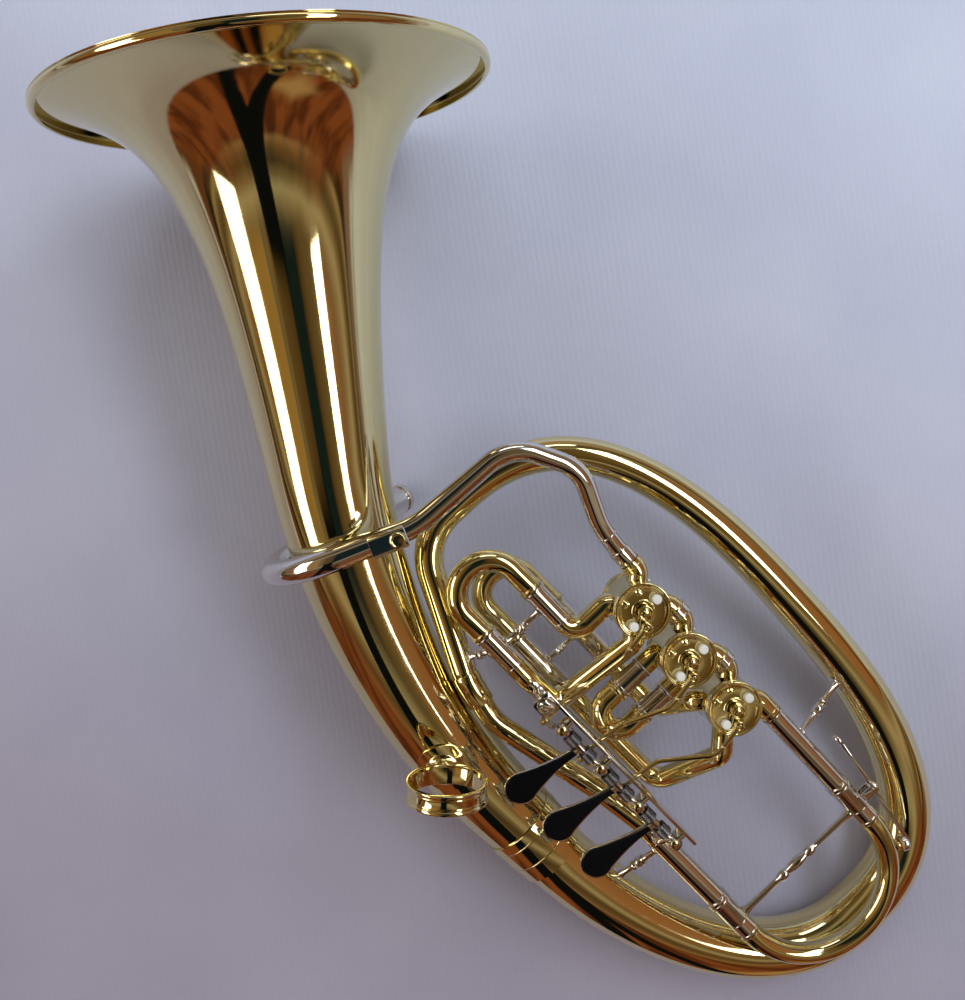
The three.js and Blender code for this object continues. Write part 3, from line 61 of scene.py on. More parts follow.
# The pieces are laid out in the row frame, in millimetres: X along the valve row from valve 1,
# Y across it, Z out of the horn towards the valve faces, with valve 2's axis at the origin.
lying = {"tilt": 10.044, "roll": -2.0, "turn": -55.2, "shift": (60.3585, -50.7232, 47.0213)}
rowFrame = (
    Matrix.Scale(0.001, 4)
    @ Matrix.Translation(lying["shift"])
    @ Matrix.Rotation(math.radians(lying["turn"]), 4, "Z")
    @ Matrix.Rotation(math.radians(lying["roll"]), 4, "X")
    @ Matrix.Rotation(math.radians(lying["tilt"]), 4, "Y")
)

fit = {"seatGap": 0.3, "legShare": 0.85}  # a valve slide's leg fills this share of its sleeve
tube = {
    "radius": 5.5,
    "wall": 0.8,
    "leg": 4.4,
    "legWall": 0.7,
    "beadWidth": 1.8,
    "beadHeight": 0.7,
    "sides": 48,
}
valve = {
    "pitch": 34.0,
    "z": 23.0,
    "radius": 13.6,
    "wall": 2.6,
    "half": 11.0,
    "knuckleBend": 5.8,
    "branchBend": 8.0,
    "reach": 18.0,
    "portBack": 2.2,
}
valveX = [-valve["pitch"], 0.0, valve["pitch"]]
upperY, lowerY = 12.0, -72.0


def vec(x, y, z=0.0):
    return np.array((x, y, z), dtype=float)


def unit(v):
    return v / np.linalg.norm(v)


def turnedBy(v, axis, angle):
    c, s = math.cos(angle), math.sin(angle)
    return v * c + np.cross(axis, v) * s + axis * np.dot(axis, v) * (1 - c)


# The line through corners, with each corner rounded by an arc
def bentCorners(corners, bends, perQuarter=22):
    points = [np.array(corners[0], dtype=float)]
    for i in range(1, len(corners) - 1):
        here = np.array(corners[i], dtype=float)
        inward = unit(here - corners[i - 1])
        outward = unit(corners[i + 1] - here)
        turn = math.acos(max(-1.0, min(1.0, float(np.dot(inward, outward)))))
        radius = bends[i - 1] if isinstance(bends, (list, tuple)) else bends
        start = here - inward * radius * math.tan(turn / 2)
        axis = unit(np.cross(inward, outward))
        centre = start + np.cross(axis, inward) * radius
        steps = max(3, round(perQuarter * turn / (math.pi / 2)))
        for k in range(steps + 1):
            point = centre + turnedBy(start - centre, axis, turn * k / steps)
            if np.linalg.norm(point - points[-1]) > 0.02:
                points.append(point)
    last = np.array(corners[-1], dtype=float)
    if np.linalg.norm(last - points[-1]) > 0.02:
        points.append(last)
    return points


# A line with cross frames that turn as little as they can along it
class TubePath:
    def __init__(self, points):
        self.points = np.array(points, dtype=float)
        legs = np.diff(self.points, axis=0)
        lengths = np.linalg.norm(legs, axis=1)
        ways = legs / lengths[:, None]
        self.stations = np.concatenate(([0.0], np.cumsum(lengths)))
        self.length = float(self.stations[-1])
        tangents = np.vstack((ways[:1], ways[:-1] + ways[1:], ways[-1:]))
        self.tangents = tangents / np.linalg.norm(tangents, axis=1)[:, None]
        first = self.tangents[0]
        upright = vec(0, 0, 1) if abs(first[2]) < 0.9 else vec(0, 1, 0)
        normal = unit(np.cross(upright, first))
        normals = [normal]
        for i in range(1, len(self.points)):
            a, b = self.tangents[i - 1], self.tangents[i]
            axis = np.cross(a, b)
            size = np.linalg.norm(axis)
            if size > 1e-9:
                normal = turnedBy(normal, axis / size, math.atan2(size, float(np.dot(a, b))))
            normals.append(normal)
        self.normals = np.array(normals)

    def frames(self, stations):
        s = np.atleast_1d(np.array(stations, dtype=float))
        i = np.clip(np.searchsorted(self.stations, s, side="right") - 1, 0, len(self.points) - 2)
        share = ((s - self.stations[i]) / (self.stations[i + 1] - self.stations[i]))[:, None]
        origin = self.points[i] * (1 - share) + self.points[i + 1] * share
        held = np.clip(share, 0, 1)
        tangent = self.tangents[i] * (1 - held) + self.tangents[i + 1] * held
        tangent /= np.linalg.norm(tangent, axis=1)[:, None]
        across = self.normals[i] * (1 - held) + self.normals[i + 1] * held
        across -= tangent * np.sum(across * tangent, axis=1)[:, None]
        across /= np.linalg.norm(across, axis=1)[:, None]
        return origin, tangent, across, np.cross(tangent, across)

    def at(self, s):
        return [v[0] for v in self.frames([s])]

    def between(self, start, end, gap=0.05):
        inside = [s for s in self.stations if start + gap < s < end - gap]
        return [start, *inside, end]


# A profile with its corners rounded, but for those that are nearly straight
def softened(profile, size=0.25, steps=3, closed=True):
    points = [np.array(p, dtype=float) for p in profile]
    out = []
    count = len(points)
    for i, p in enumerate(points):
        if not closed and i in (0, count - 1):
            out.append(tuple(p))
            continue
        u, v = points[i - 1] - p, points[(i + 1) % count] - p
        lu, lv = np.linalg.norm(u), np.linalg.norm(v)
        if lu < 1e-6 or lv < 1e-6:
            out.append(tuple(p))
            continue
        if np.dot(u, v) / (lu * lv) < -0.93:
            out.append(tuple(p))
            continue
        reach = min(size, 0.45 * lu, 0.45 * lv)
        a, b = p + u * reach / lu, p + v * reach / lv
        for k in range(steps + 1):
            t = k / steps
            out.append(tuple(a * (1 - t) ** 2 + 2 * p * t * (1 - t) + b * t * t))
    return out


# The skin that (distance along the path, radius) pairs make round the path
def sweep(path, profile, sides=None, closed=True):
    sides = sides or tube["sides"]
    stations = np.array([p[0] for p in profile])
    radii = np.array([p[1] for p in profile])
    origin, _, across, other = path.frames(stations)
    angles = 2 * math.pi * (np.arange(sides) + 0.5) / sides
    ring = np.cos(angles)[None, :, None] * across[:, None, :]
    ring = ring + np.sin(angles)[None, :, None] * other[:, None, :]
    points = origin[:, None, :] + radii[:, None, None] * ring
    rings = len(profile)
    faces = []
    for i in range(rings if closed else rings - 1):
        j = (i + 1) % rings
        for k in range(sides):
            m = (k + 1) % sides
            faces.append((i * sides + k, i * sides + m, j * sides + m, j * sides + k))
    if not closed:
        faces.append(tuple(reversed(range(sides))))
        faces.append(tuple((rings - 1) * sides + k for k in range(sides)))
    return points.reshape(-1, 3), faces


def solidSweep(path, profile, sides=None):
    return sweep(path, profile, sides, closed=False)


# An open tube with real wall thickness. Its beads are raised rings.
def hollow(path, radius, wall, beads=(), start=0.0, end=None, sides=None):
    end = path.length if end is None else end
    radiusAt = radius if callable(radius) else (lambda s: radius)
    outer = [(s, radiusAt(s)) for s in path.between(start, end)]
    for bead in beads:
        width = bead.get("width", tube["beadWidth"])
        height = bead.get("height", tube["beadHeight"])
        low, high = max(bead["at"] - width / 2, start), min(bead["at"] + width / 2, end)
        foot = radiusAt(bead["at"])
        before = [p for p in outer if p[0] < low - 0.01]
        after = [p for p in outer if p[0] > high + 0.01]
        middle = [(low, foot)] if low > start + 0.01 else []
        if bead.get("round"):
            for k in range(9):
                angle = math.pi * k / 8
                place = (low + high) / 2 - width / 2 * math.cos(angle)
                middle.append((place, foot + height * math.sin(angle)))
        else:
            inset = [s for s in path.stations if low + 0.05 < s < high - 0.05]
            middle += softened(
                [(low, foot), (low, foot + height)]
                + [(s, radiusAt(s) + height) for s in inset]
                + [(high, foot + height), (high, foot)],
                bead.get("soft", 0.3),
                closed=False,
            )
        if high < end - 0.01:
            middle.append((high, foot))
        outer = before + middle + after
    inner = [(s, radiusAt(s) - wall) for s in path.between(start, end)]
    cleaned = []
    for p in outer + inner[::-1]:
        if not cleaned or math.dist(cleaned[-1], p) > 1e-4:
            cleaned.append(p)
    return sweep(path, cleaned, sides)


# A form turned on an axis, from (distance along the axis, radius) pairs
def turned(origin, axis, profile, sides=40, soft=0.2):
    origin, axis = np.array(origin, dtype=float), unit(np.array(axis, dtype=float))
    path = TubePath([origin, origin + axis])
    profile = softened(profile, soft, closed=False) if soft else profile
    return solidSweep(path, [(s, max(r, 0.001)) for s, r in profile], sides)


def post(x, y, low, high, radius, sides=40, soft=0.2):
    return turned(
        (x, y, 0), (0, 0, 1), [(low, 0), (low, radius), (high, radius), (high, 0)], sides, soft
    )


def rodX(low, high, y, z, radius, sides=32, soft=0.2):
    return turned(
        (0, y, z), (1, 0, 0), [(low, 0), (low, radius), (high, radius), (high, 0)], sides, soft
    )


def insetOutline(outline, amount):
    points = np.array(outline, dtype=float)
    before, after = np.roll(points, 1, axis=0), np.roll(points, -1, axis=0)
    a, b = points - before, after - points
    a /= np.linalg.norm(a, axis=1)[:, None]
    b /= np.linalg.norm(b, axis=1)[:, None]
    na, nb = np.stack((-a[:, 1], a[:, 0]), 1), np.stack((-b[:, 1], b[:, 0]), 1)
    way = na + nb
    way /= np.maximum(np.linalg.norm(way, axis=1), 0.2)[:, None]
    return points + way * amount


# A flat outline carried through (height, inset) levels
def slab(outline, levels):
    count = len(outline)
    points, faces = [], []
    for z, amount in levels:
        for x, y in insetOutline(outline, amount):
            points.append((x, y, z))
    for i in range(len(levels) - 1):
        for k in range(count):
            m = (k + 1) % count
            faces.append((i * count + k, i * count + m, (i + 1) * count + m, (i + 1) * count + k))
    faces.append(tuple(reversed(range(count))))
    faces.append(tuple((len(levels) - 1) * count + k for k in range(count)))
    return np.array(points), faces


def edged(low, high, soft=0.25):
    return [
        (low, soft),
        (low + 0.3 * soft, 0.3 * soft),
        (low + soft, 0),
        (high - soft, 0),
        (high - 0.3 * soft, 0.3 * soft),
        (high, soft),
    ]


def roundedCorners(corners, radius, steps=5):
    points = [np.array(c, dtype=float) for c in corners]
    out = []
    for i, p in enumerate(points):
        u, v = points[i - 1] - p, points[(i + 1) % len(points)] - p
        lu, lv = np.linalg.norm(u), np.linalg.norm(v)
        reach = min(radius, 0.48 * lu, 0.48 * lv)
        a, b = p + u * reach / lu, p + v * reach / lv
        for k in range(steps + 1):
            t = k / steps
            out.append(tuple(a * (1 - t) ** 2 + 2 * p * t * (1 - t) + b * t * t))
    return out


def rectangle(xLow, xHigh, yLow, yHigh, corner=0.4):
    return roundedCorners([(xLow, yLow), (xHigh, yLow), (xHigh, yHigh), (xLow, yHigh)], corner, 4)


def block(low, high, corner=0.4, soft=0.2):
    return slab(rectangle(low[0], high[0], low[1], high[1], corner), edged(low[2], high[2], soft))


def moved(chunk, matrix):
    points, faces = chunk
    m = np.array(matrix)
    return points @ m[:3, :3].T + m[:3, 3], faces


# A place whose X runs along one way and whose Z leans to another
def uprightAlong(origin, xWay, zWay):
    x = unit(np.array(xWay, dtype=float))
    z = np.array(zWay, dtype=float)
    z = unit(z - x * np.dot(x, z))
    y = np.cross(z, x)
    matrix = np.eye(4)
    matrix[:3, 0], matrix[:3, 1], matrix[:3, 2], matrix[:3, 3] = x, y, z, origin
    return matrix


# A thin plate wrapped on the surface of a tube, from a flat outline in millimetres
def saddle(path, s, angle, surfaceAt, outline, thickness, sink=0.15, rings=7):
    points, faces = [], []
    count = len(outline)
    shares = [i / rings for i in range(1, rings + 1)]
    levels = [(share, thickness) for share in shares[:-1]]
    levels += [(0.985, thickness), (1.0, 0.75 * thickness), (1.0, -sink)]
    flat = [(0.0, 0.0, thickness)]
    for share, height in levels:
        for u, v in outline:
            flat.append((u * share, v * share, height))
    along = np.array([s + p[0] for p in flat])
    origin, _, across, other = path.frames(along)
    for i, (u, v, height) in enumerate(flat):
        radius = surfaceAt(along[i])
        turn = angle + v / radius
        way = across[i] * math.cos(turn) + other[i] * math.sin(turn)
        points.append(origin[i] + way * (radius + height))
    for k in range(count):
        faces.append((0, 1 + k, 1 + (k + 1) % count))
    for i in range(len(levels) - 1):
        for k in range(count):
            m = (k + 1) % count
            a, b = 1 + i * count, 1 + (i + 1) * count
            faces.append((a + k, b + k, b + m, a + m))
    return np.array(points), faces


# The angle round a path at which its surface faces a way
def angleTowards(path, s, way):
    _, _, across, other = path.at(s)
    return math.atan2(float(np.dot(way, other)), float(np.dot(way, across)))


# Foot plates of the stays
diamond = [(6.2, 0), (3.4, 1.9), (0, 3.4), (-3.4, 1.9), (-6.2, 0), (-3.4, -1.9), (0, -3.4), (3.4, -1.9)]
flange = roundedCorners(diamond, 1.4, 3)
smallFlange = [(0.62 * u, 0.8 * v) for u, v in flange]

# A turned stay, as shares of its length and of its greatest radius
braceShape = {
    "radius": 2.7,
    "outline": [
        (0, 0.86),
        (0.03, 0.8),
        (0.07, 0.6),
        (0.30, 0.56),
        (0.335, 0.6),
        (0.35, 0.9),
        (0.375, 0.95),
        (0.40, 0.9),
        (0.415, 0.62),
        (0.44, 0.78),
        (0.47, 0.95),
        (0.5, 1.0),
        (0.53, 0.95),
        (0.56, 0.78),
        (0.585, 0.62),
        (0.60, 0.9),
        (0.625, 0.95),
        (0.65, 0.9),
        (0.665, 0.6),
        (0.70, 0.56),
        (0.93, 0.6),
        (0.97, 0.8),
        (1, 0.86),
    ],
}


def brace(start, end, sides=28):
    start, end = np.array(start, dtype=float), np.array(end, dtype=float)
    length = np.linalg.norm(end - start)
    outline = [(a * length, r * braceShape["radius"]) for a, r in braceShape["outline"]]
    outline = [(0, 0), *outline, (length, 0)]
    return turned(start, end - start, outline, sides, soft=0)


# Finishes


def newGroup(name, inputs, outputs):
    group = bpy.data.node_groups.new(name, "ShaderNodeTree")
    for label, kind, value in inputs:
        socket = group.interface.new_socket(name=label, in_out="INPUT", socket_type=kind)
        socket.default_value = value
    for label, kind in outputs:
        group.interface.new_socket(name=label, in_out="OUTPUT", socket_type=kind)
    return group, group.nodes.new("NodeGroupInput"), group.nodes.new("NodeGroupOutput")


# Worn polish: clouds of tarnish, smears in the roughness and a fine grain
def wearGroup():
    group, given, made = newGroup(
        "polishedWear",
        [
            ("Color", "NodeSocketColor", (0.8, 0.8, 0.8, 1)),
            ("Roughness", "NodeSocketFloat", 0.1),
            ("Smear", "NodeSocketFloat", 0.05),
            ("Tarnish", "NodeSocketColor", (0.5, 0.4, 0.2, 1)),
            ("Tarnish Amount", "NodeSocketFloat", 0.2),
        ],
        [("Color", "NodeSocketColor"), ("Roughness", "NodeSocketFloat"), ("Height", "NodeSocketFloat")],
    )
    nodes, links = group.nodes, group.links
    where = nodes.new("ShaderNodeTexCoord")
    cloudy = nodes.new("ShaderNodeTexNoise")
    cloudy.inputs["Scale"].default_value = 16
    cloudy.inputs["Detail"].default_value = 5
    smear = nodes.new("ShaderNodeTexNoise")
    smear.inputs["Scale"].default_value = 75
    smear.inputs["Detail"].default_value = 6
    smear.inputs["Distortion"].default_value = 1.4
    grain = nodes.new("ShaderNodeTexNoise")
    grain.inputs["Scale"].default_value = 900
    grain.inputs["Detail"].default_value = 3
    stretch = nodes.new("ShaderNodeMapping")
    stretch.inputs["Scale"].default_value = (1, 1, 9)
    for node in (cloudy, smear):
        links.new(where.outputs["Object"], node.inputs["Vector"])
    links.new(where.outputs["Object"], stretch.inputs["Vector"])
    links.new(stretch.outputs["Vector"], grain.inputs["Vector"])
    patch = nodes.new("ShaderNodeMapRange")
    patch.inputs["From Min"].default_value = 0.5
    patch.inputs["From Max"].default_value = 0.72
    links.new(cloudy.outputs["Fac"], patch.inputs["Value"])
    amount = nodes.new("ShaderNodeMath")
    amount.operation = "MULTIPLY"
    links.new(patch.outputs["Result"], amount.inputs[0])
    links.new(given.outputs["Tarnish Amount"], amount.inputs[1])
    mix = nodes.new("ShaderNodeMix")
    mix.data_type = "RGBA"
    links.new(amount.outputs["Value"], mix.inputs["Factor"])
    links.new(given.outputs["Color"], mix.inputs["A"])
    links.new(given.outputs["Tarnish"], mix.inputs["B"])
    links.new(mix.outputs["Result"], made.inputs["Color"])
    streak = nodes.new("ShaderNodeMapRange")
    streak.inputs["From Min"].default_value = 0.42
    streak.inputs["From Max"].default_value = 0.75
    links.new(smear.outputs["Fac"], streak.inputs["Value"])
    extra = nodes.new("ShaderNodeMath")
    extra.operation = "MULTIPLY_ADD"
    links.new(streak.outputs["Result"], extra.inputs[0])
    links.new(given.outputs["Smear"], extra.inputs[1])
    links.new(given.outputs["Roughness"], extra.inputs[2])
    links.new(extra.outputs["Value"], made.inputs["Roughness"])
    links.new(grain.outputs["Fac"], made.inputs["Height"])
    return group


wear = wearGroup()


def finish(
    name, color, roughness, metallic, smear, tarnish, tarnishAmount, coat=0.0, bump=0.02, specular=0.5
):
    material = bpy.data.materials.new(name)
    material.use_nodes = True
    nodes, links = material.node_tree.nodes, material.node_tree.links
    shader = nodes["Principled BSDF"]
    shader.inputs["Metallic"].default_value = metallic
    shader.inputs["Specular IOR Level"].default_value = specular
    shader.inputs["Coat Weight"].default_value = coat
    shader.inputs["Coat Roughness"].default_value = 0.03
    group = nodes.new("ShaderNodeGroup")
    group.node_tree = wear
    group.inputs["Color"].default_value = (*color, 1)
    group.inputs["Roughness"].default_value = roughness
    group.inputs["Smear"].default_value = smear
    group.inputs["Tarnish"].default_value = (*tarnish, 1)
    group.inputs["Tarnish Amount"].default_value = tarnishAmount
    links.new(group.outputs["Color"], shader.inputs["Base Color"])
    links.new(group.outputs["Roughness"], shader.inputs["Roughness"])
    relief = nodes.new("ShaderNodeBump")
    relief.inputs["Strength"].default_value = bump
    relief.inputs["Distance"].default_value = 0.0002
    links.new(group.outputs["Height"], relief.inputs["Height"])
    links.new(relief.outputs["Normal"], shader.inputs["Normal"])
    return material


brass = finish(
    "brassLacquer",
    color=(0.80, 0.69, 0.35),
    roughness=0.05,
    metallic=1,
    smear=0.04,
    tarnish=(0.73, 0.60, 0.26),
    tarnishAmount=0.35,
    coat=0.2,
)
brassBell = finish(
    "brassBell",
    color=(0.76, 0.66, 0.34),
    roughness=0.045,
    metallic=1,
    smear=0.035,
    tarnish=(0.70, 0.58, 0.26),
    tarnishAmount=0.3,
    coat=0.2,
)
nickel = finish(
    "nickelSilver",
    color=(0.75, 0.72, 0.68),
    roughness=0.07,
    metallic=1,
    smear=0.05,
    tarnish=(0.62, 0.56, 0.48),
    tarnishAmount=0.3,
    coat=0.2,
)
steel = finish(
    "springSteel",
    color=(0.26, 0.27, 0.30),
    roughness=0.22,
    metallic=1,
    smear=0.08,
    tarnish=(0.16, 0.16, 0.17),
    tarnishAmount=0.5,
)
black = finish(
    "blackInlay",
    color=(0.003, 0.003, 0.004),
    roughness=0.3,
    metallic=0,
    smear=0.1,
    tarnish=(0.008, 0.008, 0.009),
    tarnishAmount=0.3,
    bump=0.03,
    specular=0.05,
)
white = finish(
    "bumperRubber",
    color=(0.74, 0.76, 0.73),
    roughness=0.55,
    metallic=0,
    smear=0.1,
    tarnish=(0.58, 0.57, 0.52),
    tarnishAmount=0.5,
    bump=0.2,
)
corkTan = finish(
    "corkTan",
    color=(0.47, 0.28, 0.12),
    roughness=0.85,
    metallic=0,
    smear=0.1,
    tarnish=(0.27, 0.14, 0.06),
    tarnishAmount=0.9,
    bump=0.9,
)


# Joins chunks into one object on the node's body. Without a name of its own it replaces the node.
def piece(node, chunks, material, sharp=35, local=None, name=None, extra=()):
    points, faces, offset = [], [], 0
    for chunk in chunks:
        p, f = chunk
        if local is not None:
            p, f = moved((p, f), local)
        points.append(p)
        faces.extend(tuple(i + offset for i in face) for face in f)
        offset += len(p)
    place = np.array(rowFrame)
    world = np.vstack(points) @ place[:3, :3].T + place[:3, 3]
    mesh = bpy.data.meshes.new(name or f"{node}_look")
    mesh.from_pydata(world.tolist(), [], faces)
    mesh.update()
    mesh.shade_smooth()
    mesh.set_sharp_from_angle(angle=math.radians(sharp))
    made = bpy.data.objects.new(name or f"{node}_look", mesh)
    bpy.context.scene.collection.objects.link(made)
    made.data.materials.append(material)
    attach(made, bodyOfNode[node])
    if name is None:
        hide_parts(node, *extra)
    return made


# The oval bow

bow = {
    "fit": 0.966,  # a smooth tube of this share stays within the faceted one
    "middle": (31.0, -29.0),
    "half": (157.0, 89.5),
    "topPower": 2.6,
    "endPower": 2.05,
    "endAngle": -85,
    "endStraight": 5.0,
    "radii": (6.2, 18.4),
    "wall": 0.9,
    "start": (-49.0, -87.0, 15.0),
    "swerve": (-63.0, -84.0, 14.5),
    "cornerY": -54.0,
    "cornerBend": 30.0,
    "ferrule": 16.0,
}


# The oval is squarer along the top than round the bottom
def ovalPoint(angle):
    c, s = math.cos(math.radians(angle)), math.sin(math.radians(angle))
    power = bow["topPower"] if s >= 0 else bow["endPower"]
    x = math.copysign(abs(c) ** (2 / power), c)
    y = math.copysign(abs(s) ** (2 / power), s)
    return vec(bow["middle"][0] + bow["half"][0] * x, bow["middle"][1] + bow["half"][1] * y)


def evenly(points, gap):
    path = TubePath(points)
    count = max(2, round(path.length / gap))
    return list(path.frames(np.linspace(0, path.length, count + 1))[0])


left = bow["middle"][0] - bow["half"][0]
bowLead = bentCorners(
    [vec(*bow["start"]), vec(*bow["swerve"]), vec(left, bow["cornerY"]), vec(left, bow["middle"][1])],
    bow["cornerBend"],
)
bowRound = [ovalPoint(180 + (bow["endAngle"] - 180) * i / 900) for i in range(1, 901)]
bowRound = evenly([vec(left, bow["middle"][1]), *bowRound], 2.6)[1:]
bowPath = TubePath([*bowLead, *bowRound, bowRound[-1] + vec(-bow["endStraight"], 0)])


def bowRadiusAt(s):
    small, large = bow["radii"]
    return (small + (large - small) * s / bowPath.length) * bow["fit"]


bowFerrule = {"at": bow["ferrule"] / 2, "width": bow["ferrule"], "height": 0.55}
piece("main_bow", [hollow(bowPath, bowRadiusAt, bow["wall"], [bowFerrule], sides=72)], brass)
print("bow made", len(bowPath.points))

# The bell

bell = {
    "rim": 102.5,
    "flareOffset": 10.0,
    "flarePower": 0.43,
    "wall": 0.8,
    "bead": 2.1,
    "bend": 318.0,
    "bendAngle": 35.2,
    "straight": 171.0,
    "throat": 90.0,
    "ferrule": 26.0,
    "ferruleHeight": 0.9,
    "rings": (9.3, 20.5),
    "share": 0.993,
}
bellStart = bowPath.at(bowPath.length + fit["seatGap"])[0]
bellCentre = vec(0, bellStart[1] + bell["bend"])
bellPoints = [bellStart]
for k in range(61):
    angle = math.radians(-90 - bell["bendAngle"] * k / 60)
    bellPoints.append(bellCentre + bell["bend"] * vec(math.cos(angle), math.sin(angle)))
straightAngle = math.radians(180 - bell["bendAngle"])
bellWay = vec(math.cos(straightAngle), math.sin(straightAngle))
bellPoints.append(bellPoints[-1] + bellWay * bell["straight"])
bellPath = TubePath(bellPoints)


# The throat widens evenly, and the flare ever faster towards the rim
def bellRadiusAt(s):
    def law(at):
        ratio = bell["flareOffset"] / (bellPath.length - at + bell["flareOffset"])
        return bell["rim"] * ratio ** bell["flarePower"]

    if s >= bell["throat"]:
        return law(s)
    return bow["radii"][1] + (law(bell["throat"]) - bow["radii"][1]) * s / bell["throat"]


def bellProfile():
    edge = bellPath.length
    bodyStations = [s for s in bellPath.stations if bell["ferrule"] + 0.5 < s < edge - bell["straight"]]
    flareShares = 1 - (1 - np.linspace(0, 1, 90)) ** 1.9
    bodyStations += [edge - bell["straight"] * (1 - share) for share in flareShares[:-1]]
    rim = bell["rim"] * bell["share"]
    outer = [
        (0, bow["radii"][1] + bell["ferruleHeight"]),
        (bell["ferrule"], bellRadiusAt(bell["ferrule"]) + bell["ferruleHeight"]),
        (bell["ferrule"], bellRadiusAt(bell["ferrule"])),
    ]
    outer = softened(outer, 0.3, closed=False)
    outer += [(s, min(bellRadiusAt(s), rim - 0.4)) for s in bodyStations]
    bead = []
    for k in range(21):
        angle = math.radians(205 - 250 * k / 20)
        out, aside = math.cos(angle) - 1, math.sin(angle) - 1
        bead.append((edge + bell["bead"] * out, rim + bell["bead"] * aside))
    inner = [(s, min(bellRadiusAt(s), rim - 0.4) - bell["wall"]) for s in [0, *bodyStations]]
    return outer + bead + inner[::-1]


def ringOn(path, surfaceAt, s, width, height, sides=72):
    profile = []
    for k in range(9):
        angle = math.pi * k / 8
        profile.append((s - width / 2 * math.cos(angle), surfaceAt(s) + height * math.sin(angle)))
    profile += [(s + width / 2, surfaceAt(s) - 0.3), (s - width / 2, surfaceAt(s) - 0.3)]
    return sweep(path, profile, sides)


def ferruleSurface(s):
    return bellRadiusAt(s) + bell["ferruleHeight"]


bellRings = [ringOn(bellPath, ferruleSurface, s, 0.9, 0.35) for s in bell["rings"]]
piece("bell", [sweep(bellPath, bellProfile(), 128), *bellRings], brassBell)
print("bell made")

# Branches of the valves, which are soldered to the casings


def portStart(x, angle):
    reach = valve["radius"] - valve["portBack"]
    a = math.radians(angle)
    return vec(x + reach * math.cos(a), reach * math.sin(a), valve["z"])


def cornerAtY(x, angle, y):
    return vec(x + y / math.tan(math.radians(angle)), y, valve["z"])


def cornerAtX(x, angle, at):
    return vec(at, (at - x) * math.tan(math.radians(angle)), valve["z"])


def branch(corners, bends, beads=()):
    path = TubePath(bentCorners(corners, bends))
    marks = [{"at": path.length - back, "width": 0.8, "height": 0.28, "round": True} for back in beads]
    return hollow(path, tube["radius"], tube["wall"], marks)


slide1 = {"upperY": -31.0, "lowerY": -62.0, "branchX": -44.5, "start": -53.0, "returnX": -21.0,
          "returnZ": 11.0, "riseX": -44.0, "stayX": -65.0, "beadX": -75.0, "crookX": -88.0}
slide2 = {"half": 8.7, "start": -18.0, "beadY": -34.0, "crookY": -42.0}
slide3 = {"upperY": -28.5, "lowerY": -54.5, "z": -3.0, "branchX": 23.5, "stayX": -35.0,
          "start": -14.0, "beadX": -55.0, "crookX": -75.0, "returnX": 54.0}
tuning = {"start": 56.0, "bead": 110.0, "collar": 25.5, "braceX": 126.0, "lowerStart": 62.0,
          "upperStay": 76.0, "lowerStay": 68.0, "insertion": 38.0}
crossover = {"half": 2.4, "radius": 6.35}
crossAt = [(valveX[0] + valveX[1]) / 2, (valveX[1] + valveX[2]) / 2]
half = fit["seatGap"] / 2
z = valve["z"]
knuckle, bendOf = valve["knuckleBend"], valve["branchBend"]


def upperKnuckle(x, angle, endX):
    return branch(
        [portStart(x, angle), cornerAtY(x, angle, upperY), vec(endX, upperY, z)], knuckle, (2.4,)
    )


def slide2Branch(angle):
    x = math.copysign(slide2["half"], math.cos(math.radians(angle)))
    return branch(
        [portStart(0, angle), cornerAtX(0, angle, x), vec(x, slide2["start"], z)], knuckle
    )


branches = [
    [
        upperKnuckle(valveX[0], 135, valveX[0] - valve["reach"]),
        upperKnuckle(valveX[0], 45, crossAt[0] - half),
        branch(
            [
                portStart(valveX[0], 225),
                cornerAtX(valveX[0], 225, slide1["branchX"]),
                vec(slide1["branchX"], slide1["upperY"], z),
                vec(slide1["start"], slide1["upperY"], z),
            ],
            [knuckle, bendOf],
        ),
        branch(
            [
                portStart(valveX[0], 315),
                cornerAtX(valveX[0], 315, slide1["returnX"]),
                vec(slide1["returnX"], slide1["lowerY"], slide1["returnZ"]),
                vec(slide1["riseX"], slide1["lowerY"], z),
                vec(slide1["start"], slide1["lowerY"], z),
            ],
            [knuckle, bendOf, bendOf],
        ),
    ],
    [
        upperKnuckle(valveX[1], 135, crossAt[0] + half),
        upperKnuckle(valveX[1], 45, crossAt[1] - half),
        slide2Branch(225),
        slide2Branch(315),
    ],
    [
        upperKnuckle(valveX[2], 135, crossAt[1] + half),
        upperKnuckle(valveX[2], 45, tuning["start"]),
        branch(
            [
                portStart(valveX[2], 225),
                cornerAtX(valveX[2], 225, slide3["branchX"]),
                vec(slide3["branchX"], slide3["upperY"], slide3["z"]),
                vec(slide3["start"], slide3["upperY"], slide3["z"]),
            ],
            [knuckle, bendOf],
        ),
        branch(
            [
                portStart(valveX[2], 315),
                cornerAtX(valveX[2], 315, slide3["returnX"]),
                vec(slide3["returnX"], slide3["lowerY"], slide3["z"]),
                vec(slide3["start"], slide3["lowerY"], slide3["z"]),
            ],
            [knuckle, bendOf],
        ),
    ],
]

# Casings, plates, caps, stop arms and bumpers

stop = {"plate": 2.0, "rim": 1.0, "cap": 3.0, "lip": 1.2, "stem": 2.4, "screwAt": 9.4,
        "screwAngles": (150, 205), "pinAt": 6.6, "rest": -38.0, "travel": 90.0, "arm": 2.6,
        "lift": 1.2, "lug": 9.2, "lugAngle": 22.0, "hub": 3.6, "head": 2.2,
        "headHeight": 1.6, "pin": 1.0, "pinHeight": 5.4, "bumper": 2.3, "bumperHeight": 3.2,
        "bumperAt": 8.4, "bumperAngle": 18.5}
casingLow, casingHigh = z - valve["half"], z + valve["half"]
faceZ = casingHigh + fit["seatGap"] + stop["plate"]
armZ = faceZ + stop["lift"]


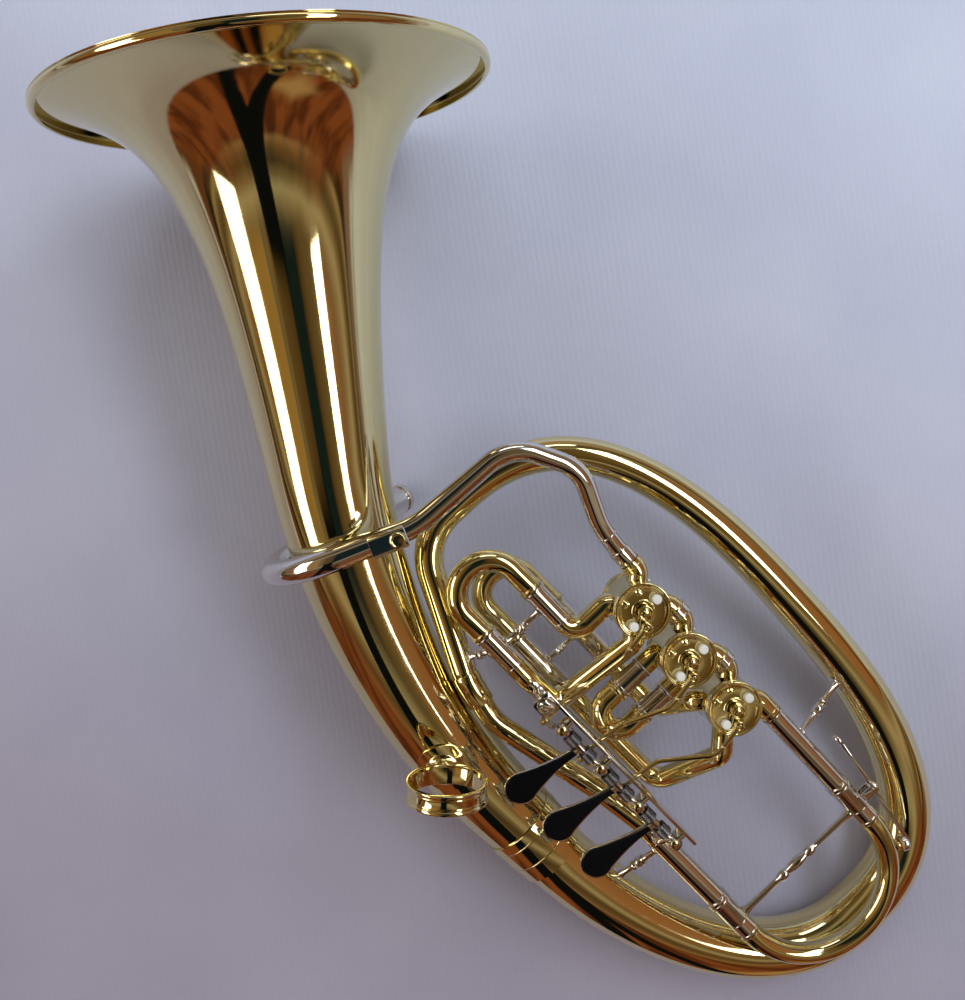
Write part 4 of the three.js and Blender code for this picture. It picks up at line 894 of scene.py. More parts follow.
def screwHead(x, y, low, high, radius, angle):
    dome = [(low, 0), (low, radius), (high - 0.45 * radius, radius), (high, 0.55 * radius), (high, 0)]
    head = turned((x, y, 0), (0, 0, 1), dome, 28, 0.35)
    long, wide = 0.9 * radius, 0.16 * radius
    groove = block((-long, -wide, high - 0.22), (long, wide, high + 0.03), 0.05, 0.03)
    matrix = np.array(Matrix.Translation((x, y, 0)) @ Matrix.Rotation(math.radians(angle), 4, "Z"))
    return head, moved(groove, matrix)


def casing(k):
    x, r, inner = valveX[k], valve["radius"], valve["radius"] - valve["wall"]
    outline = [
        (casingLow, inner),
        (casingLow, r),
        (casingLow + 2.2, r),
        (casingLow + 2.2, r - 0.35),
        (casingHigh - 2.2, r - 0.35),
        (casingHigh - 2.2, r),
        (casingHigh, r),
        (casingHigh, inner),
    ]
    path = TubePath([vec(x, 0, 0), vec(x, 0, 1)])
    return [sweep(path, softened(outline, 0.25), 64), *branches[k]]


def bearingPlate(x):
    low, r = casingHigh + fit["seatGap"], valve["radius"]
    outline = [
        (low, stop["stem"] + 0.3),
        (low, r),
        (low + 1.0, r),
        (low + 1.15, r - 0.25),
        (low + 1.3, r),
        (faceZ + stop["rim"], r),
        (faceZ + stop["rim"], r - 0.9),
        (faceZ + 0.55, r - 1.5),
        (faceZ + 0.5, r - 2.6),
        (faceZ, r - 3.0),
        (faceZ, 5.6),
        (faceZ + 0.35, 5.3),
        (faceZ + 0.35, stop["stem"] + 0.3),
    ]
    path = TubePath([vec(x, 0, 0), vec(x, 0, 1)])
    return [sweep(path, softened(outline, 0.16), 64)]


def backCap(x):
    high, r = casingLow - fit["seatGap"], valve["radius"]
    outline = [
        (high, 0),
        (high, r),
        (high - 1.1, r),
        (high - 1.25, r - 0.3),
        (high - 1.4, r),
        (high - stop["cap"], r - 0.3),
        (high - stop["cap"], r - 2.2),
        (high - stop["cap"] - stop["lip"], r - 3.4),
        (high - stop["cap"] - stop["lip"] + 0.3, 3.2),
        (high - stop["cap"] - stop["lip"], 2.4),
        (high - stop["cap"] - stop["lip"], 0),
    ]
    return [turned((x, 0, 0), (0, 0, -1), [(-s, r) for s, r in outline], 64, 0.25)]


def stopArm():
    a = math.radians(stop["lugAngle"])
    end = [(stop["lug"] * math.cos(t), stop["lug"] * math.sin(t)) for t in np.linspace(-a, a, 13)]
    lug = [(0.6, -1.9), *end, (0.6, 1.9)]
    top = stop["arm"] + stop["headHeight"]
    hub = [(0.2, 0), (0.2, stop["hub"]), (top, stop["hub"]), (top, stop["hub"] - 0.75),
           (stop["arm"] + 0.4, stop["hub"] - 0.85), (stop["arm"] + 0.4, 0)]
    head = [(stop["arm"] + 0.3, 0), (stop["arm"] + 0.3, stop["head"]), (top - 0.5, stop["head"]),
            (top - 0.15, 0.6 * stop["head"]), (top - 0.1, 0)]
    groove = block((-1.9, -0.33, top - 0.4), (1.9, 0.33, top - 0.02), 0.1, 0.03)
    return [
        slab(roundedCorners(lug, 0.5, 2), edged(0, stop["arm"], 0.25)),
        turned((0, 0, 0), (0, 0, 1), hub, 40, 0.2),
        turned((0, 0, 0), (0, 0, 1), head, 32, 0.2),
        moved(groove, np.array(Matrix.Rotation(0.6, 4, "Z"))),
        post(stop["pinAt"], 0, stop["arm"] - 0.5, stop["pinHeight"], stop["pin"], 24, 0.3),
    ]


def placed(x, y, z, angle=0.0, axis="Z"):
    return np.array(Matrix.Translation((x, y, z)) @ Matrix.Rotation(math.radians(angle), 4, axis))


for k in range(3):
    number = k + 1
    x = valveX[k]
    piece(f"valve_casing_{number}", casing(k), brass)
    screws = []
    for angle in stop["screwAngles"]:
        a = math.radians(angle)
        sx, sy = x + stop["screwAt"] * math.cos(a), stop["screwAt"] * math.sin(a)
        screws += screwHead(sx, sy, faceZ - 0.2, faceZ + 0.5 * stop["headHeight"], stop["head"], angle + 35)
    piece(f"bearing_plate_{number}", bearingPlate(x) + screws, brass)
    piece(f"back_cap_{number}", backCap(x), brass)
    piece(f"stop_arm_{number}", stopArm(), brass, local=placed(x, 0, armZ, stop["rest"]))
    middle = stop["rest"] + stop["travel"] / 2
    reach = stop["travel"] / 2 + stop["lugAngle"] + stop["bumperAngle"]
    for side, letter in ((1, "a"), (-1, "b")):
        a = math.radians(middle + side * reach)
        bx, by = x + stop["bumperAt"] * math.cos(a), stop["bumperAt"] * math.sin(a)
        low = faceZ + fit["seatGap"]
        piece(
            f"bumper_{number}_{letter}",
            [post(bx, by, low, low + stop["bumperHeight"], stop["bumper"], 36, 0.6)],
            white,
        )
print("valves made")

# Crossovers, sleeves, slides and their crooks


# A stay between two tubes, with its ends sunk a little into both
def stayBetween(centre, farCentre, farReach):
    centre, farCentre = np.array(centre, dtype=float), np.array(farCentre, dtype=float)
    along = unit(farCentre - centre)
    return brace(centre + along * (tube["radius"] - 0.5), farCentre - along * (farReach - 0.2))


# The foot plate of a stay, where it meets its tube
def footOn(centre, farCentre, radius, outline=smallFlange):
    centre, farCentre = np.array(centre, dtype=float), np.array(farCentre, dtype=float)
    way = unit(farCentre - centre)
    line = unit(np.cross(way, vec(0, 0, 1)))
    path = TubePath([centre - line * 20, centre + line * 20])
    angle = angleTowards(path, 20, way)
    return saddle(path, 20, angle, lambda s: radius, outline, 0.5)


def nearestStation(path, p):
    samples = np.linspace(0, path.length, 3000)
    origins = path.frames(samples)[0]
    return float(samples[np.argmin(np.linalg.norm(origins - p, axis=1))])


def stayToBow(centre):
    centre = np.array(centre, dtype=float)
    s = nearestStation(bowPath, centre)
    far = bowPath.at(s)[0]
    foot = saddle(bowPath, s, angleTowards(bowPath, s, centre - far), bowRadiusAt, flange, 0.55)
    return [stayBetween(centre, far, bowRadiusAt(s)), foot, footOn(centre, far, tube["radius"])]


def sleeve(start, end, rings=(), mark=True):
    path = TubePath([start, end])
    beads = [{"at": 0.7, "width": 1.3, "height": 0.32, "soft": 0.2}] if mark else []
    beads += [{"at": at, "width": 0.9, "height": 0.3, "round": True} for at in rings]
    beads.append({"at": path.length - tube["beadWidth"] / 2, "soft": 0.55})
    return hollow(path, tube["radius"], tube["wall"], beads)


for k in range(2):
    middle = crossAt[k]
    low, high = middle - crossover["half"], middle + crossover["half"]
    path = TubePath([vec(low, upperY, z), vec(high, upperY, z)])
    beads = [{"at": at, "width": 1.0, "height": 0.22} for at in (0.5, 2 * crossover["half"] - 0.5)]
    piece(f"crossover_{k + 1}", [hollow(path, crossover["radius"], tube["wall"], beads)], nickel)


# A valve slide: the crook with a bead at each end and the thinner legs inside the sleeves
def crookWithLegs(corners, bend, legLength):
    path = TubePath(bentCorners(corners, bend, 30))
    last = path.length - legLength
    width, high = tube["beadWidth"], tube["radius"] + tube["beadHeight"]
    inside = [s for s in path.stations if legLength + width + 0.3 < s < last - width - 0.3]
    front = softened(
        [
            (0, tube["leg"]),
            (legLength, tube["leg"]),
            (legLength, high),
            (legLength + width, high),
            (legLength + width, tube["radius"]),
            (legLength + width + 1, tube["radius"]),
        ],
        0.5,
        closed=False,
    )
    back = [(path.length - s, r) for s, r in reversed(front)]
    outer = front[:-1] + [(s, tube["radius"]) for s in inside] + back[1:]
    inner = [(s, tube["leg"] - tube["legWall"]) for s in [0, *inside, path.length]][::-1]
    return path, sweep(path, outer + inner)


def alongSlide(number, size, height, stays):
    start = size["start"] - fit["seatGap"]
    top, low, bead = size["upperY"], size["lowerY"], size["beadX"]
    piece(
        f"slide_{number}_sleeve_upper",
        [sleeve(vec(start, top, height), vec(bead, top, height))],
        nickel,
    )
    piece(
        f"slide_{number}_sleeve_lower",
        [sleeve(vec(start, low, height), vec(bead, low, height)), *stays],
        nickel,
    )
    halfWidth = (top - low) / 2
    legEnd = bead + (size["start"] - bead) * fit["legShare"]
    corners = [
        vec(legEnd, top, height),
        vec(size["crookX"] - halfWidth, top, height),
        vec(size["crookX"] - halfWidth, low, height),
        vec(legEnd, low, height),
    ]
    _, body = crookWithLegs(corners, halfWidth, legEnd - bead + fit["seatGap"])
    piece(f"slide_{number}_crook", [body], brass)


def slideStay(size, height):
    low, high = vec(size["stayX"], size["lowerY"], height), vec(size["stayX"], size["upperY"], height)
    return [stayBetween(low, high, tube["radius"] + 0.3), footOn(low, high, tube["radius"])]


bowStay = stayToBow((slide1["stayX"], slide1["lowerY"], z))
alongSlide(1, slide1, z, slideStay(slide1, z) + bowStay)
alongSlide(3, slide3, slide3["z"], slideStay(slide3, slide3["z"]))

for side, x in (("left", -slide2["half"]), ("right", slide2["half"])):
    start = vec(x, slide2["start"] - fit["seatGap"], z)
    piece(f"slide_2_sleeve_{side}", [sleeve(start, vec(x, slide2["beadY"], z))], nickel)
legEnd = slide2["beadY"] + (slide2["start"] - slide2["beadY"]) * fit["legShare"]
turnY = slide2["crookY"] - slide2["half"]
corners = [
    vec(-slide2["half"], legEnd, z),
    vec(-slide2["half"], turnY, z),
    vec(slide2["half"], turnY, z),
    vec(slide2["half"], legEnd, z),
]
_, body = crookWithLegs(corners, slide2["half"], legEnd - slide2["beadY"] + fit["seatGap"])
piece("slide_2_crook", [body], brass)
print("slides made")

# Main tuning slide


def tuningSleeve(startX, y, stayX):
    end = vec(tuning["bead"], y, z)
    return [sleeve(vec(startX + fit["seatGap"], y, z), end), *stayToBow(vec(stayX, y, z))]


piece("tuning_sleeve_upper", tuningSleeve(tuning["start"], upperY, tuning["upperStay"]), nickel)
piece("tuning_sleeve_lower", tuningSleeve(tuning["lowerStart"], lowerY, tuning["lowerStay"]), nickel)
collarEnd = tuning["bead"] + tuning["collar"]


def tuningLeg(y):
    path = TubePath([vec(tuning["bead"] - tuning["insertion"], y, z), vec(collarEnd, y, z)])
    collar, width = tuning["insertion"] + fit["seatGap"], tube["beadWidth"]
    high, full, bore = tube["radius"] + tube["beadHeight"], tube["radius"], tube["leg"] - tube["legWall"]
    outline = [
        (0, tube["leg"]),
        (collar, tube["leg"]),
        (collar, high),
        (collar + width, high),
        (collar + width, full),
        (path.length - 9.4, full),
        (path.length - 9.2, full - 0.2),
        (path.length - 9.0, full),
        (path.length - 1.6, full),
        (path.length - 1.4, full + 0.3),
        (path.length, full + 0.3),
        (path.length, bore),
        (0, bore),
    ]
    return sweep(path, softened(outline, 0.45))


waterKey = {"pivot": (123.0, 24.5, 24.5), "armWidth": 2.2, "arm": 3.0, "eye": 2.4, "lug": 1.2,
            "lugWidth": 4.6, "touchX": 94.0, "rise": 3.0, "touchWidth": 6.5,
            "cup": 4.0, "cupHeight": 3.4, "cork": 1.4, "corkRadius": 3.3, "nippleAngle": 64.0,
            "nippleReach": 7.6, "pin": 1.0}


# The lugs, pin and foot plate that carry the water key
def keySaddle():
    px, py, pz = waterKey["pivot"]
    chunks = []
    tall = waterKey["lugWidth"] / 2
    outline = [(-tall, -6.6), (tall, -6.6)]
    outline += [(tall * math.cos(a), tall * math.sin(a)) for a in np.linspace(0, math.pi, 13)]
    for side in (1, -1):
        middle = pz + side * (waterKey["arm"] / 2 + 0.3 + waterKey["lug"] / 2)
        lug = slab(outline, edged(-waterKey["lug"] / 2, waterKey["lug"] / 2, 0.2))
        chunks.append(moved(lug, placed(px, py, middle)))
    wide = waterKey["arm"] / 2 + 0.3 + 2 * waterKey["lug"]
    chunks.append(post(px, py, pz - wide, pz + wide, waterKey["pin"], 24, 0.3))
    chunks.append(post(px, py, pz + wide - 0.7, pz + wide, 1.7, 24, 0.3))
    path = TubePath([vec(px - 12, upperY, z), vec(px + 12, upperY, z)])
    angle = angleTowards(path, 12, vec(0, 1, (pz - z) / tube["radius"]))
    outline = rectangle(-waterKey["lugWidth"], waterKey["lugWidth"], -wide - 0.6, wide + 0.6, 1.6)
    chunks.append(saddle(path, 12, angle, lambda s: tube["radius"], outline, 0.9))
    return chunks


low, high = vec(tuning["braceX"], lowerY, z), vec(tuning["braceX"], upperY, z)
piece(
    "tuning_slide_legs",
    [
        tuningLeg(upperY),
        tuningLeg(lowerY),
        stayBetween(low, high, tube["radius"] + 0.3),
        footOn(low, high, tube["radius"]),
        footOn(high, low, tube["radius"]),
        *keySaddle(),
    ],
    nickel,
)

tuningHalf = (upperY - lowerY) / 2
crookCentre = vec(collarEnd + fit["seatGap"] + tube["beadWidth"], (upperY + lowerY) / 2, z)
nippleTurn = math.radians(waterKey["nippleAngle"])
nippleWay = vec(math.cos(nippleTurn), math.sin(nippleTurn))


def onNipple(reach):
    return crookCentre + nippleWay * (tuningHalf + reach)


crookPath = TubePath(
    bentCorners(
        [
            vec(collarEnd + fit["seatGap"], upperY, z),
            vec(crookCentre[0] + tuningHalf, upperY, z),
            vec(crookCentre[0] + tuningHalf, lowerY, z),
            vec(collarEnd + fit["seatGap"], lowerY, z),
        ],
        tuningHalf,
        60,
    )
)
ends = [{"at": at, "width": 1.2, "height": 0.25} for at in (0.6, crookPath.length - 0.6)]
nipplePath = TubePath([onNipple(4.9), onNipple(waterKey["nippleReach"])])
nippleOutline = [
    (0, 0.9),
    (0, 3.4),
    (0.7, 2.5),
    (2.2, 2.3),
    (2.5, 2.4),
    (nipplePath.length, 1.9),
    (nipplePath.length, 0.9),
]
nipple = sweep(nipplePath, softened(nippleOutline, 0.3), 32)
crook = hollow(crookPath, tube["radius"], tube["wall"], ends, sides=56)
piece("tuning_slide_crook", [crook, nipple], brass)

corkLow = waterKey["nippleReach"] + 0.3
cupLow = corkLow + waterKey["cork"] + 0.3
cupHigh = cupLow + waterKey["cupHeight"]


def keyParts():
    px, py, pz = waterKey["pivot"]
    cup = [
        (cupLow - 0.7, 3.55),
        (cupLow - 0.7, waterKey["cup"]),
        (cupLow + 1.4, waterKey["cup"]),
        (cupLow + 2.4, 3.1),
        (cupHigh - 0.3, 1.9),
        (cupHigh, 0),
        (cupLow, 0),
        (cupLow, 3.55),
    ]
    path = TubePath([onNipple(0), onNipple(1)])
    chunks = [sweep(path, softened([(s, max(r, 0.001)) for s, r in cup], 0.3), 36)]
    stations = [vec(waterKey["touchX"], py + waterKey["rise"], pz), vec(px, py, pz), onNipple(cupHigh - 0.4)]
    for i in range(2):
        a, b = stations[i], stations[i + 1]
        length = np.linalg.norm(b - a)
        waist = length / 2
        flat = [(0, -1.1), (waist, -0.85), (length, -1.1), (length, 1.1), (waist, 0.85), (0, 1.1)]
        bar = slab(roundedCorners(flat, 0.8, 4), edged(-waterKey["arm"] / 2, waterKey["arm"] / 2, 0.4))
        chunks.append(moved(bar, uprightAlong(a, b - a, vec(0, 0, 1))))
    chunks.append(post(px, py, pz - waterKey["arm"] / 2, pz + waterKey["arm"] / 2, waterKey["eye"], 32, 0.35))
    wide = waterKey["touchWidth"] / 2
    pad = [(wide * math.cos(a), wide * math.sin(a)) for a in np.linspace(0, 2 * math.pi, 25)[:-1]]
    pad = [(u * 1.05, v) for u, v in pad]
    plate = slab(pad, edged(-waterKey["armWidth"] / 2, waterKey["armWidth"] / 2, 0.7))
    place = uprightAlong((waterKey["touchX"] - 2.8, py + waterKey["rise"], pz), vec(1, 0, 0), vec(0, 1, 0))
    chunks.append(moved(plate, place))
    return chunks


piece("water_key", keyParts(), nickel)
corkHigh, corkRadius = cupLow - 0.3, waterKey["corkRadius"]
corkOutline = [(corkLow, 0), (corkLow, corkRadius), (corkHigh, corkRadius), (corkHigh, 0)]
piece("water_key_cork", [turned(onNipple(0), nippleWay, corkOutline, 32, 0.35)], corkTan)
print("tuning slide made")

# Lower branch, leadpipe and mouthpiece receiver

bowIn, bowWay = bowPath.at(0)[0], bowPath.at(0)[1]
branchStart = bowIn - bowWay * fit["seatGap"]
lowerPath = TubePath(
    bentCorners(
        [
            branchStart,
            branchStart - bowWay * 11.5,
            vec(25.0, lowerY - 3.4, 22.0),
            vec(50.0, lowerY, z),
            vec(tuning["lowerStart"], lowerY, z),
        ],
        32.0,
    )
)
piece("lower_branch", [hollow(lowerPath, tube["radius"], tube["wall"])], brass)

lead = {"small": 4.7, "large": 6.1, "wall": 0.8, "taper": (0.38, 0.58), "collar": 8.0,
        "straightX": -60.0, "rise": (-75.0, 13.0), "top": (-103.0, 24.0), "shoulder": (-134.0, 8.0),
        "crossAt": 196.5, "crossAside": 2.0, "turn": (14.0, 34.0), "bellGap": 1.2,
        "heights": (25.0, 29.0, 31.0), "behind": 4.0, "tail": 14.0, "dive": 1.1}
receiver = {"length": 32.0, "bore": 5.3}
crossed, bellTangent = bellPath.at(lead["crossAt"])[:2]
crossing = crossed + lead["crossAside"] * vec(-bellTangent[1], bellTangent[0])
approach = crossing + vec(*lead["turn"])
overBell = unit(crossing - approach)
wrap = bellRadiusAt(lead["crossAt"] + lead["large"]) + lead["large"] + lead["bellGap"]
bellSide = crossing + overBell * wrap
up = vec(0, 0, wrap)
receiverWay = unit(vec(-overBell[0], -overBell[1], -lead["dive"]))
behind = crossing - overBell * lead["behind"] - up
leadEnd = behind + receiverWay * lead["tail"]
leadPath = TubePath(
    bentCorners(
        [
            vec(valveX[0] - valve["reach"] - fit["seatGap"], upperY, z),
            vec(lead["straightX"], upperY, z),
            vec(*lead["rise"], lead["heights"][0]),
            vec(*lead["top"], lead["heights"][1]),
            vec(*lead["shoulder"], lead["heights"][2]),
            approach + up,
            bellSide + up,
            bellSide - up,
            behind,
            leadEnd,
        ],
        [40.0, 40.0, 22.0, 24.0, 40.0, wrap - 0.3, wrap - 0.3, 18.0],
        26,
    )
)


def leadRadiusAt(s):
    share = (s / leadPath.length - lead["taper"][0]) / (lead["taper"][1] - lead["taper"][0])
    return lead["small"] + (lead["large"] - lead["small"]) * min(max(share, 0), 1)


leadBeads = [
    {"at": lead["collar"] / 2, "width": lead["collar"], "height": 0.6, "soft": 0.35},
    {"at": lead["collar"] + 9, "width": 1.0, "height": 0.25, "round": True},
]
piece("leadpipe", [hollow(leadPath, leadRadiusAt, lead["wall"], leadBeads, sides=56)], nickel)
receiverStart = leadEnd + receiverWay * fit["seatGap"]
receiverEnd = receiverStart + receiverWay * receiver["length"]
receiverOutline = [
    (0, receiver["bore"]),
    (0, 7.7),
    (1.8, 7.7),
    (2.0, 7.2),
    (8.0, 7.0),
    (8.3, 7.4),
    (9.1, 7.4),
    (9.4, 7.0),
    (27.5, 7.0),
    (28.2, 7.6),
    (28.4, 7.9),
    (31.4, 7.9),
    (receiver["length"], 7.5),
    (receiver["length"], receiver["bore"]),
]
receiverPath = TubePath([receiverStart, receiverEnd])
piece("mouthpiece_receiver", [sweep(receiverPath, softened(receiverOutline, 0.35), 56)], nickel)

# Lyre holder and its screw

lyre = {"length": 17.0, "width": 9.2, "height": 9.0, "wall": 1.5, "along": 14.0}
lyreFoot = approach + overBell * lyre["along"] + vec(0, 0, wrap + lead["large"] + fit["seatGap"])
lyrePlace = np.array(
    Matrix.Translation(lyreFoot) @ Matrix.Rotation(math.atan2(overBell[1], overBell[0]), 4, "Z")
)


def squareTube(length, width, height, wall):
    outer = rectangle(-width / 2, width / 2, 0, height, 1.4)
    inner = rectangle(-width / 2 + wall, width / 2 - wall, wall, height - wall, 0.5)
    count, points, faces = len(outer), [], []
    soft = 0.3
    loops = [
        (outer, -length / 2 + soft, 0),
        (outer, length / 2 - soft, 0),
        (outer, length / 2, soft),
        (inner, length / 2, -soft),
        (inner, length / 2 - soft, 0),
        (inner, -length / 2 + soft, 0),
        (inner, -length / 2, -soft),
        (outer, -length / 2, soft),
    ]
    for outline, x, inset in loops:
        for y, h in insetOutline(outline, inset):
            points.append((x, y, h))
    for i in range(len(loops)):
        j = (i + 1) % len(loops)
        for k in range(count):
            m = (k + 1) % count
            faces.append((i * count + k, i * count + m, j * count + m, j * count + k))
    return np.array(points), faces


screwX = -lyre["length"] / 4
bossLow, bossHigh = lyre["height"] - 0.4, lyre["height"] + 0.1
bossOutline = [(bossLow, 0), (bossLow, 3.3), (bossHigh, 3.1), (bossHigh, 0)]
boss = turned((screwX, 0, 0), (0, 0, 1), bossOutline, 32, 0.2)
socket = squareTube(lyre["length"], lyre["width"], lyre["height"], lyre["wall"])
piece("lyre_holder", [socket, boss], nickel, local=lyrePlace)
screwOutline = [
    (-3.0, 0),
    (-3.0, 1.2),
    (0.3, 1.2),
    (0.3, 3.2),
    (0.7, 3.8),
    (1.9, 3.8),
    (2.5, 3.0),
    (2.2, 2.4),
    (2.45, 0),
]
piece(
    "lyre_screw",
    [turned((0, 0, 0), (0, 0, 1), screwOutline, 40, 0.25)],
    brass,
    local=lyrePlace @ placed(screwX, 0, lyre["height"]),
)
print("leadpipe made")

# Lever work

lever = {"pitch": 26.4, "middle": 14.4, "y": -64.5, "linkLow": 31.0, "rod": 1.2, "sleeve": 2.2,
         "ear": 2.4, "earRadius": 3.6, "travel": 30.0, "crank": 17.9, "crankThick": 2.2,
         "crankHalf": 1.7, "crankPin": 1.0, "crankPinLength": 5.4, "length": 40.5, "round": 7.8,
         "thick": 2.0, "neck": 1.7, "slant": 8.0, "meet": 25.0, "waist": 0.45, "drop": 2.0, "rim": 0.6}
strip = {"thick": 1.6, "height": 13.0, "overhang": 9.0, "standoff": 6.6, "foot": 9.0, "post": 2.2,
         "strut": 1.8, "strutX": 58.0}
coil = {"wire": 0.3, "radius": 3.22, "curls": 8, "pitch": 0.67, "gap": 2.6, "leg": 3.0}
rodY, rodZ = lever["y"], lever["linkLow"] + lever["crank"]
stripY = rodY + strip["standoff"]
stripLow, stripTop = rodZ - strip["height"], rodZ + lever["earRadius"] / 2
leverX = [lever["middle"] + k * lever["pitch"] for k in (-1, 0, 1)]
earX = [lever["middle"] + k * lever["pitch"] for k in (-1.5, -0.5, 0.5, 1.5)]
first, last = earX[0] - strip["overhang"], earX[3] + strip["overhang"]


def earShape(x):
    r = lever["earRadius"]
    root = strip["standoff"] - 0.2
    outline = [(-r, root), (-r, 0)]
    outline += [(r * math.cos(a), r * math.sin(a)) for a in np.linspace(math.pi, 2 * math.pi, 19)[1:-1]]
    outline += [(r, 0), (r, root)]
    plate = slab(outline, edged(-lever["ear"] / 2, lever["ear"] / 2, 0.3))
    matrix = np.eye(4)
    matrix[:3, 0], matrix[:3, 1], matrix[:3, 2] = (0, 0, -1), (0, 1, 0), (1, 0, 0)
    matrix[:3, 3] = (x, rodY, rodZ)
    return moved(plate, matrix)


def topSaddle(x, y):
    path = TubePath([vec(x - 15, y, z), vec(x + 15, y, z)])
    return saddle(path, 15, angleTowards(path, 15, vec(0, 0, 1)), lambda s: tube["radius"], flange, 0.6)


def bracketParts():
    h = strip["thick"] / 2
    chunks = [block((first, stripY - h, stripLow), (last, stripY + h, stripTop), 0.5, 0.3)]
    for x in earX:
        chunks.append(earShape(x))
        low = rodZ + lever["earRadius"] - 0.3
        chunks.append(post(x, rodY, low, low + 0.5, 2.0, 28, 0.15))
    f = strip["foot"] / 2
    footX, footY = first - f + h, stripY - f
    footLow, footHigh = (footX - f, stripY - strip["foot"], rodZ - 2.4), (footX + f, stripY + h, rodZ)
    chunks.append(block(footLow, footHigh, 1.0, 0.3))
    chunks.append(post(footX, footY, rodZ - 0.2, rodZ + 0.5, 4.1, 40, 0.2))
    chunks += screwHead(footX, footY, rodZ + 0.2, rodZ + 1.6, 3.6, 30)
    postX, postY, postLow = footX - h, slide1["lowerY"], z + tube["radius"] - 0.2
    chunks.append(post(postX, postY, postLow, rodZ - h, strip["post"], 32, 0.2))
    chunks.append(post(postX, postY, postLow + 2.4, postLow + 3.4, strip["post"] + 0.5, 32, 0.4))
    chunks.append(topSaddle(postX, postY))
    strutPoints = [
        vec(strip["strutX"], lowerY, z + tube["radius"] - 0.2),
        vec(strip["strutX"], lowerY, stripLow - strip["strut"]),
        vec(last - strip["strut"], stripY, stripLow + 2 * strip["strut"]),
    ]
    strutPath = TubePath(bentCorners(strutPoints, 3.0))
    chunks.append(solidSweep(strutPath, [(s, strip["strut"]) for s in strutPath.stations], 32))
    chunks.append(topSaddle(strip["strutX"], lowerY))
    return chunks


piece("lever_bracket", bracketParts(), nickel)
earScrews = []
for x in earX:
    low = rodZ + lever["earRadius"] + 0.2
    dome = [(low, 0), (low, 2.1), (low + 0.45, 2.4), (low + 0.9, 2.1), (low + 1.3, 1.1), (low + 1.35, 0)]
    earScrews.append(turned((x, rodY, 0), (0, 0, 1), dome, 28, 0.2))
piece("lever_bracket", earScrews, brass, name="ear_screws")

rodLow, rodHigh = earX[0] - lever["ear"], earX[3] + 2 * lever["ear"]
rodHead = [
    (earX[3] + 1.5, 0),
    (earX[3] + 1.5, 3.3),
    (earX[3] + 2.0, 3.3),
    (earX[3] + 2.3, 2.9),
    (rodHigh - 0.9, 2.9),
    (rodHigh, 2.0),
    (rodHigh, 0),
]
rod = rodX(rodLow, rodHigh, rodY, rodZ, lever["rod"])
piece("hinge_rod", [rod, turned((0, rodY, rodZ), (1, 0, 0), rodHead, 32, 0.25)], steel)


def bezier(a, control, b, steps):
    a, control, b = np.array(a), np.array(control), np.array(b)
    out = []
    for k in range(1, steps + 1):
        t = k / steps
        out.append(tuple(a * (1 - t) ** 2 + 2 * control * t * (1 - t) + b * t * t))
    return out


# A finger plate: a narrow neck that swells into a round end, seen from above
def paddleOutline(inset, start):
    neck, roundRadius = lever["neck"] - inset / 2, lever["round"] - inset
    tipY = -(lever["length"] - lever["round"])
    tipX = tipY * math.tan(math.radians(lever["slant"]))
    meet = math.radians(lever["meet"])
    waistX, waistY = tipX * lever["waist"], tipY * lever["waist"]
    right = (tipX + roundRadius * math.cos(meet), tipY + roundRadius * math.sin(meet))
    outline = [(neck, start)]
    outline += bezier((neck, start), (neck + waistX, waistY), right, 24)
    for k in range(1, 48):
        angle = meet - (math.pi + 2 * meet) * k / 48
        outline.append((tipX + roundRadius * math.cos(angle), tipY + roundRadius * math.sin(angle)))
    leftEnd = (tipX - roundRadius * math.cos(meet), tipY + roundRadius * math.sin(meet))
    outline.append(leftEnd)
    outline += bezier(leftEnd, (waistX - neck, waistY), (-neck, start), 24)
    return outline[::-1]


dropTurn = np.array(Matrix.Rotation(math.atan2(lever["drop"], lever["length"]), 4, "X"))


def paddlePlate():
    outer = paddleOutline(0, 0)
    levels = [
        (-lever["thick"] / 2, 0.45),
        (-lever["thick"] / 2 + 0.15, 0.12),
        (-lever["thick"] / 2 + 0.5, 0),
        (lever["thick"] / 2 - 0.2, 0),
        (lever["thick"] / 2 - 0.04, 0.08),
        (lever["thick"] / 2, 0.22),
    ]
    return moved(slab(outer, levels), dropTurn)


sleeveHalf = lever["pitch"] / 2 - lever["ear"] / 2 - fit["seatGap"]
crankMiddle = -sleeveHalf + lever["crankThick"] / 2


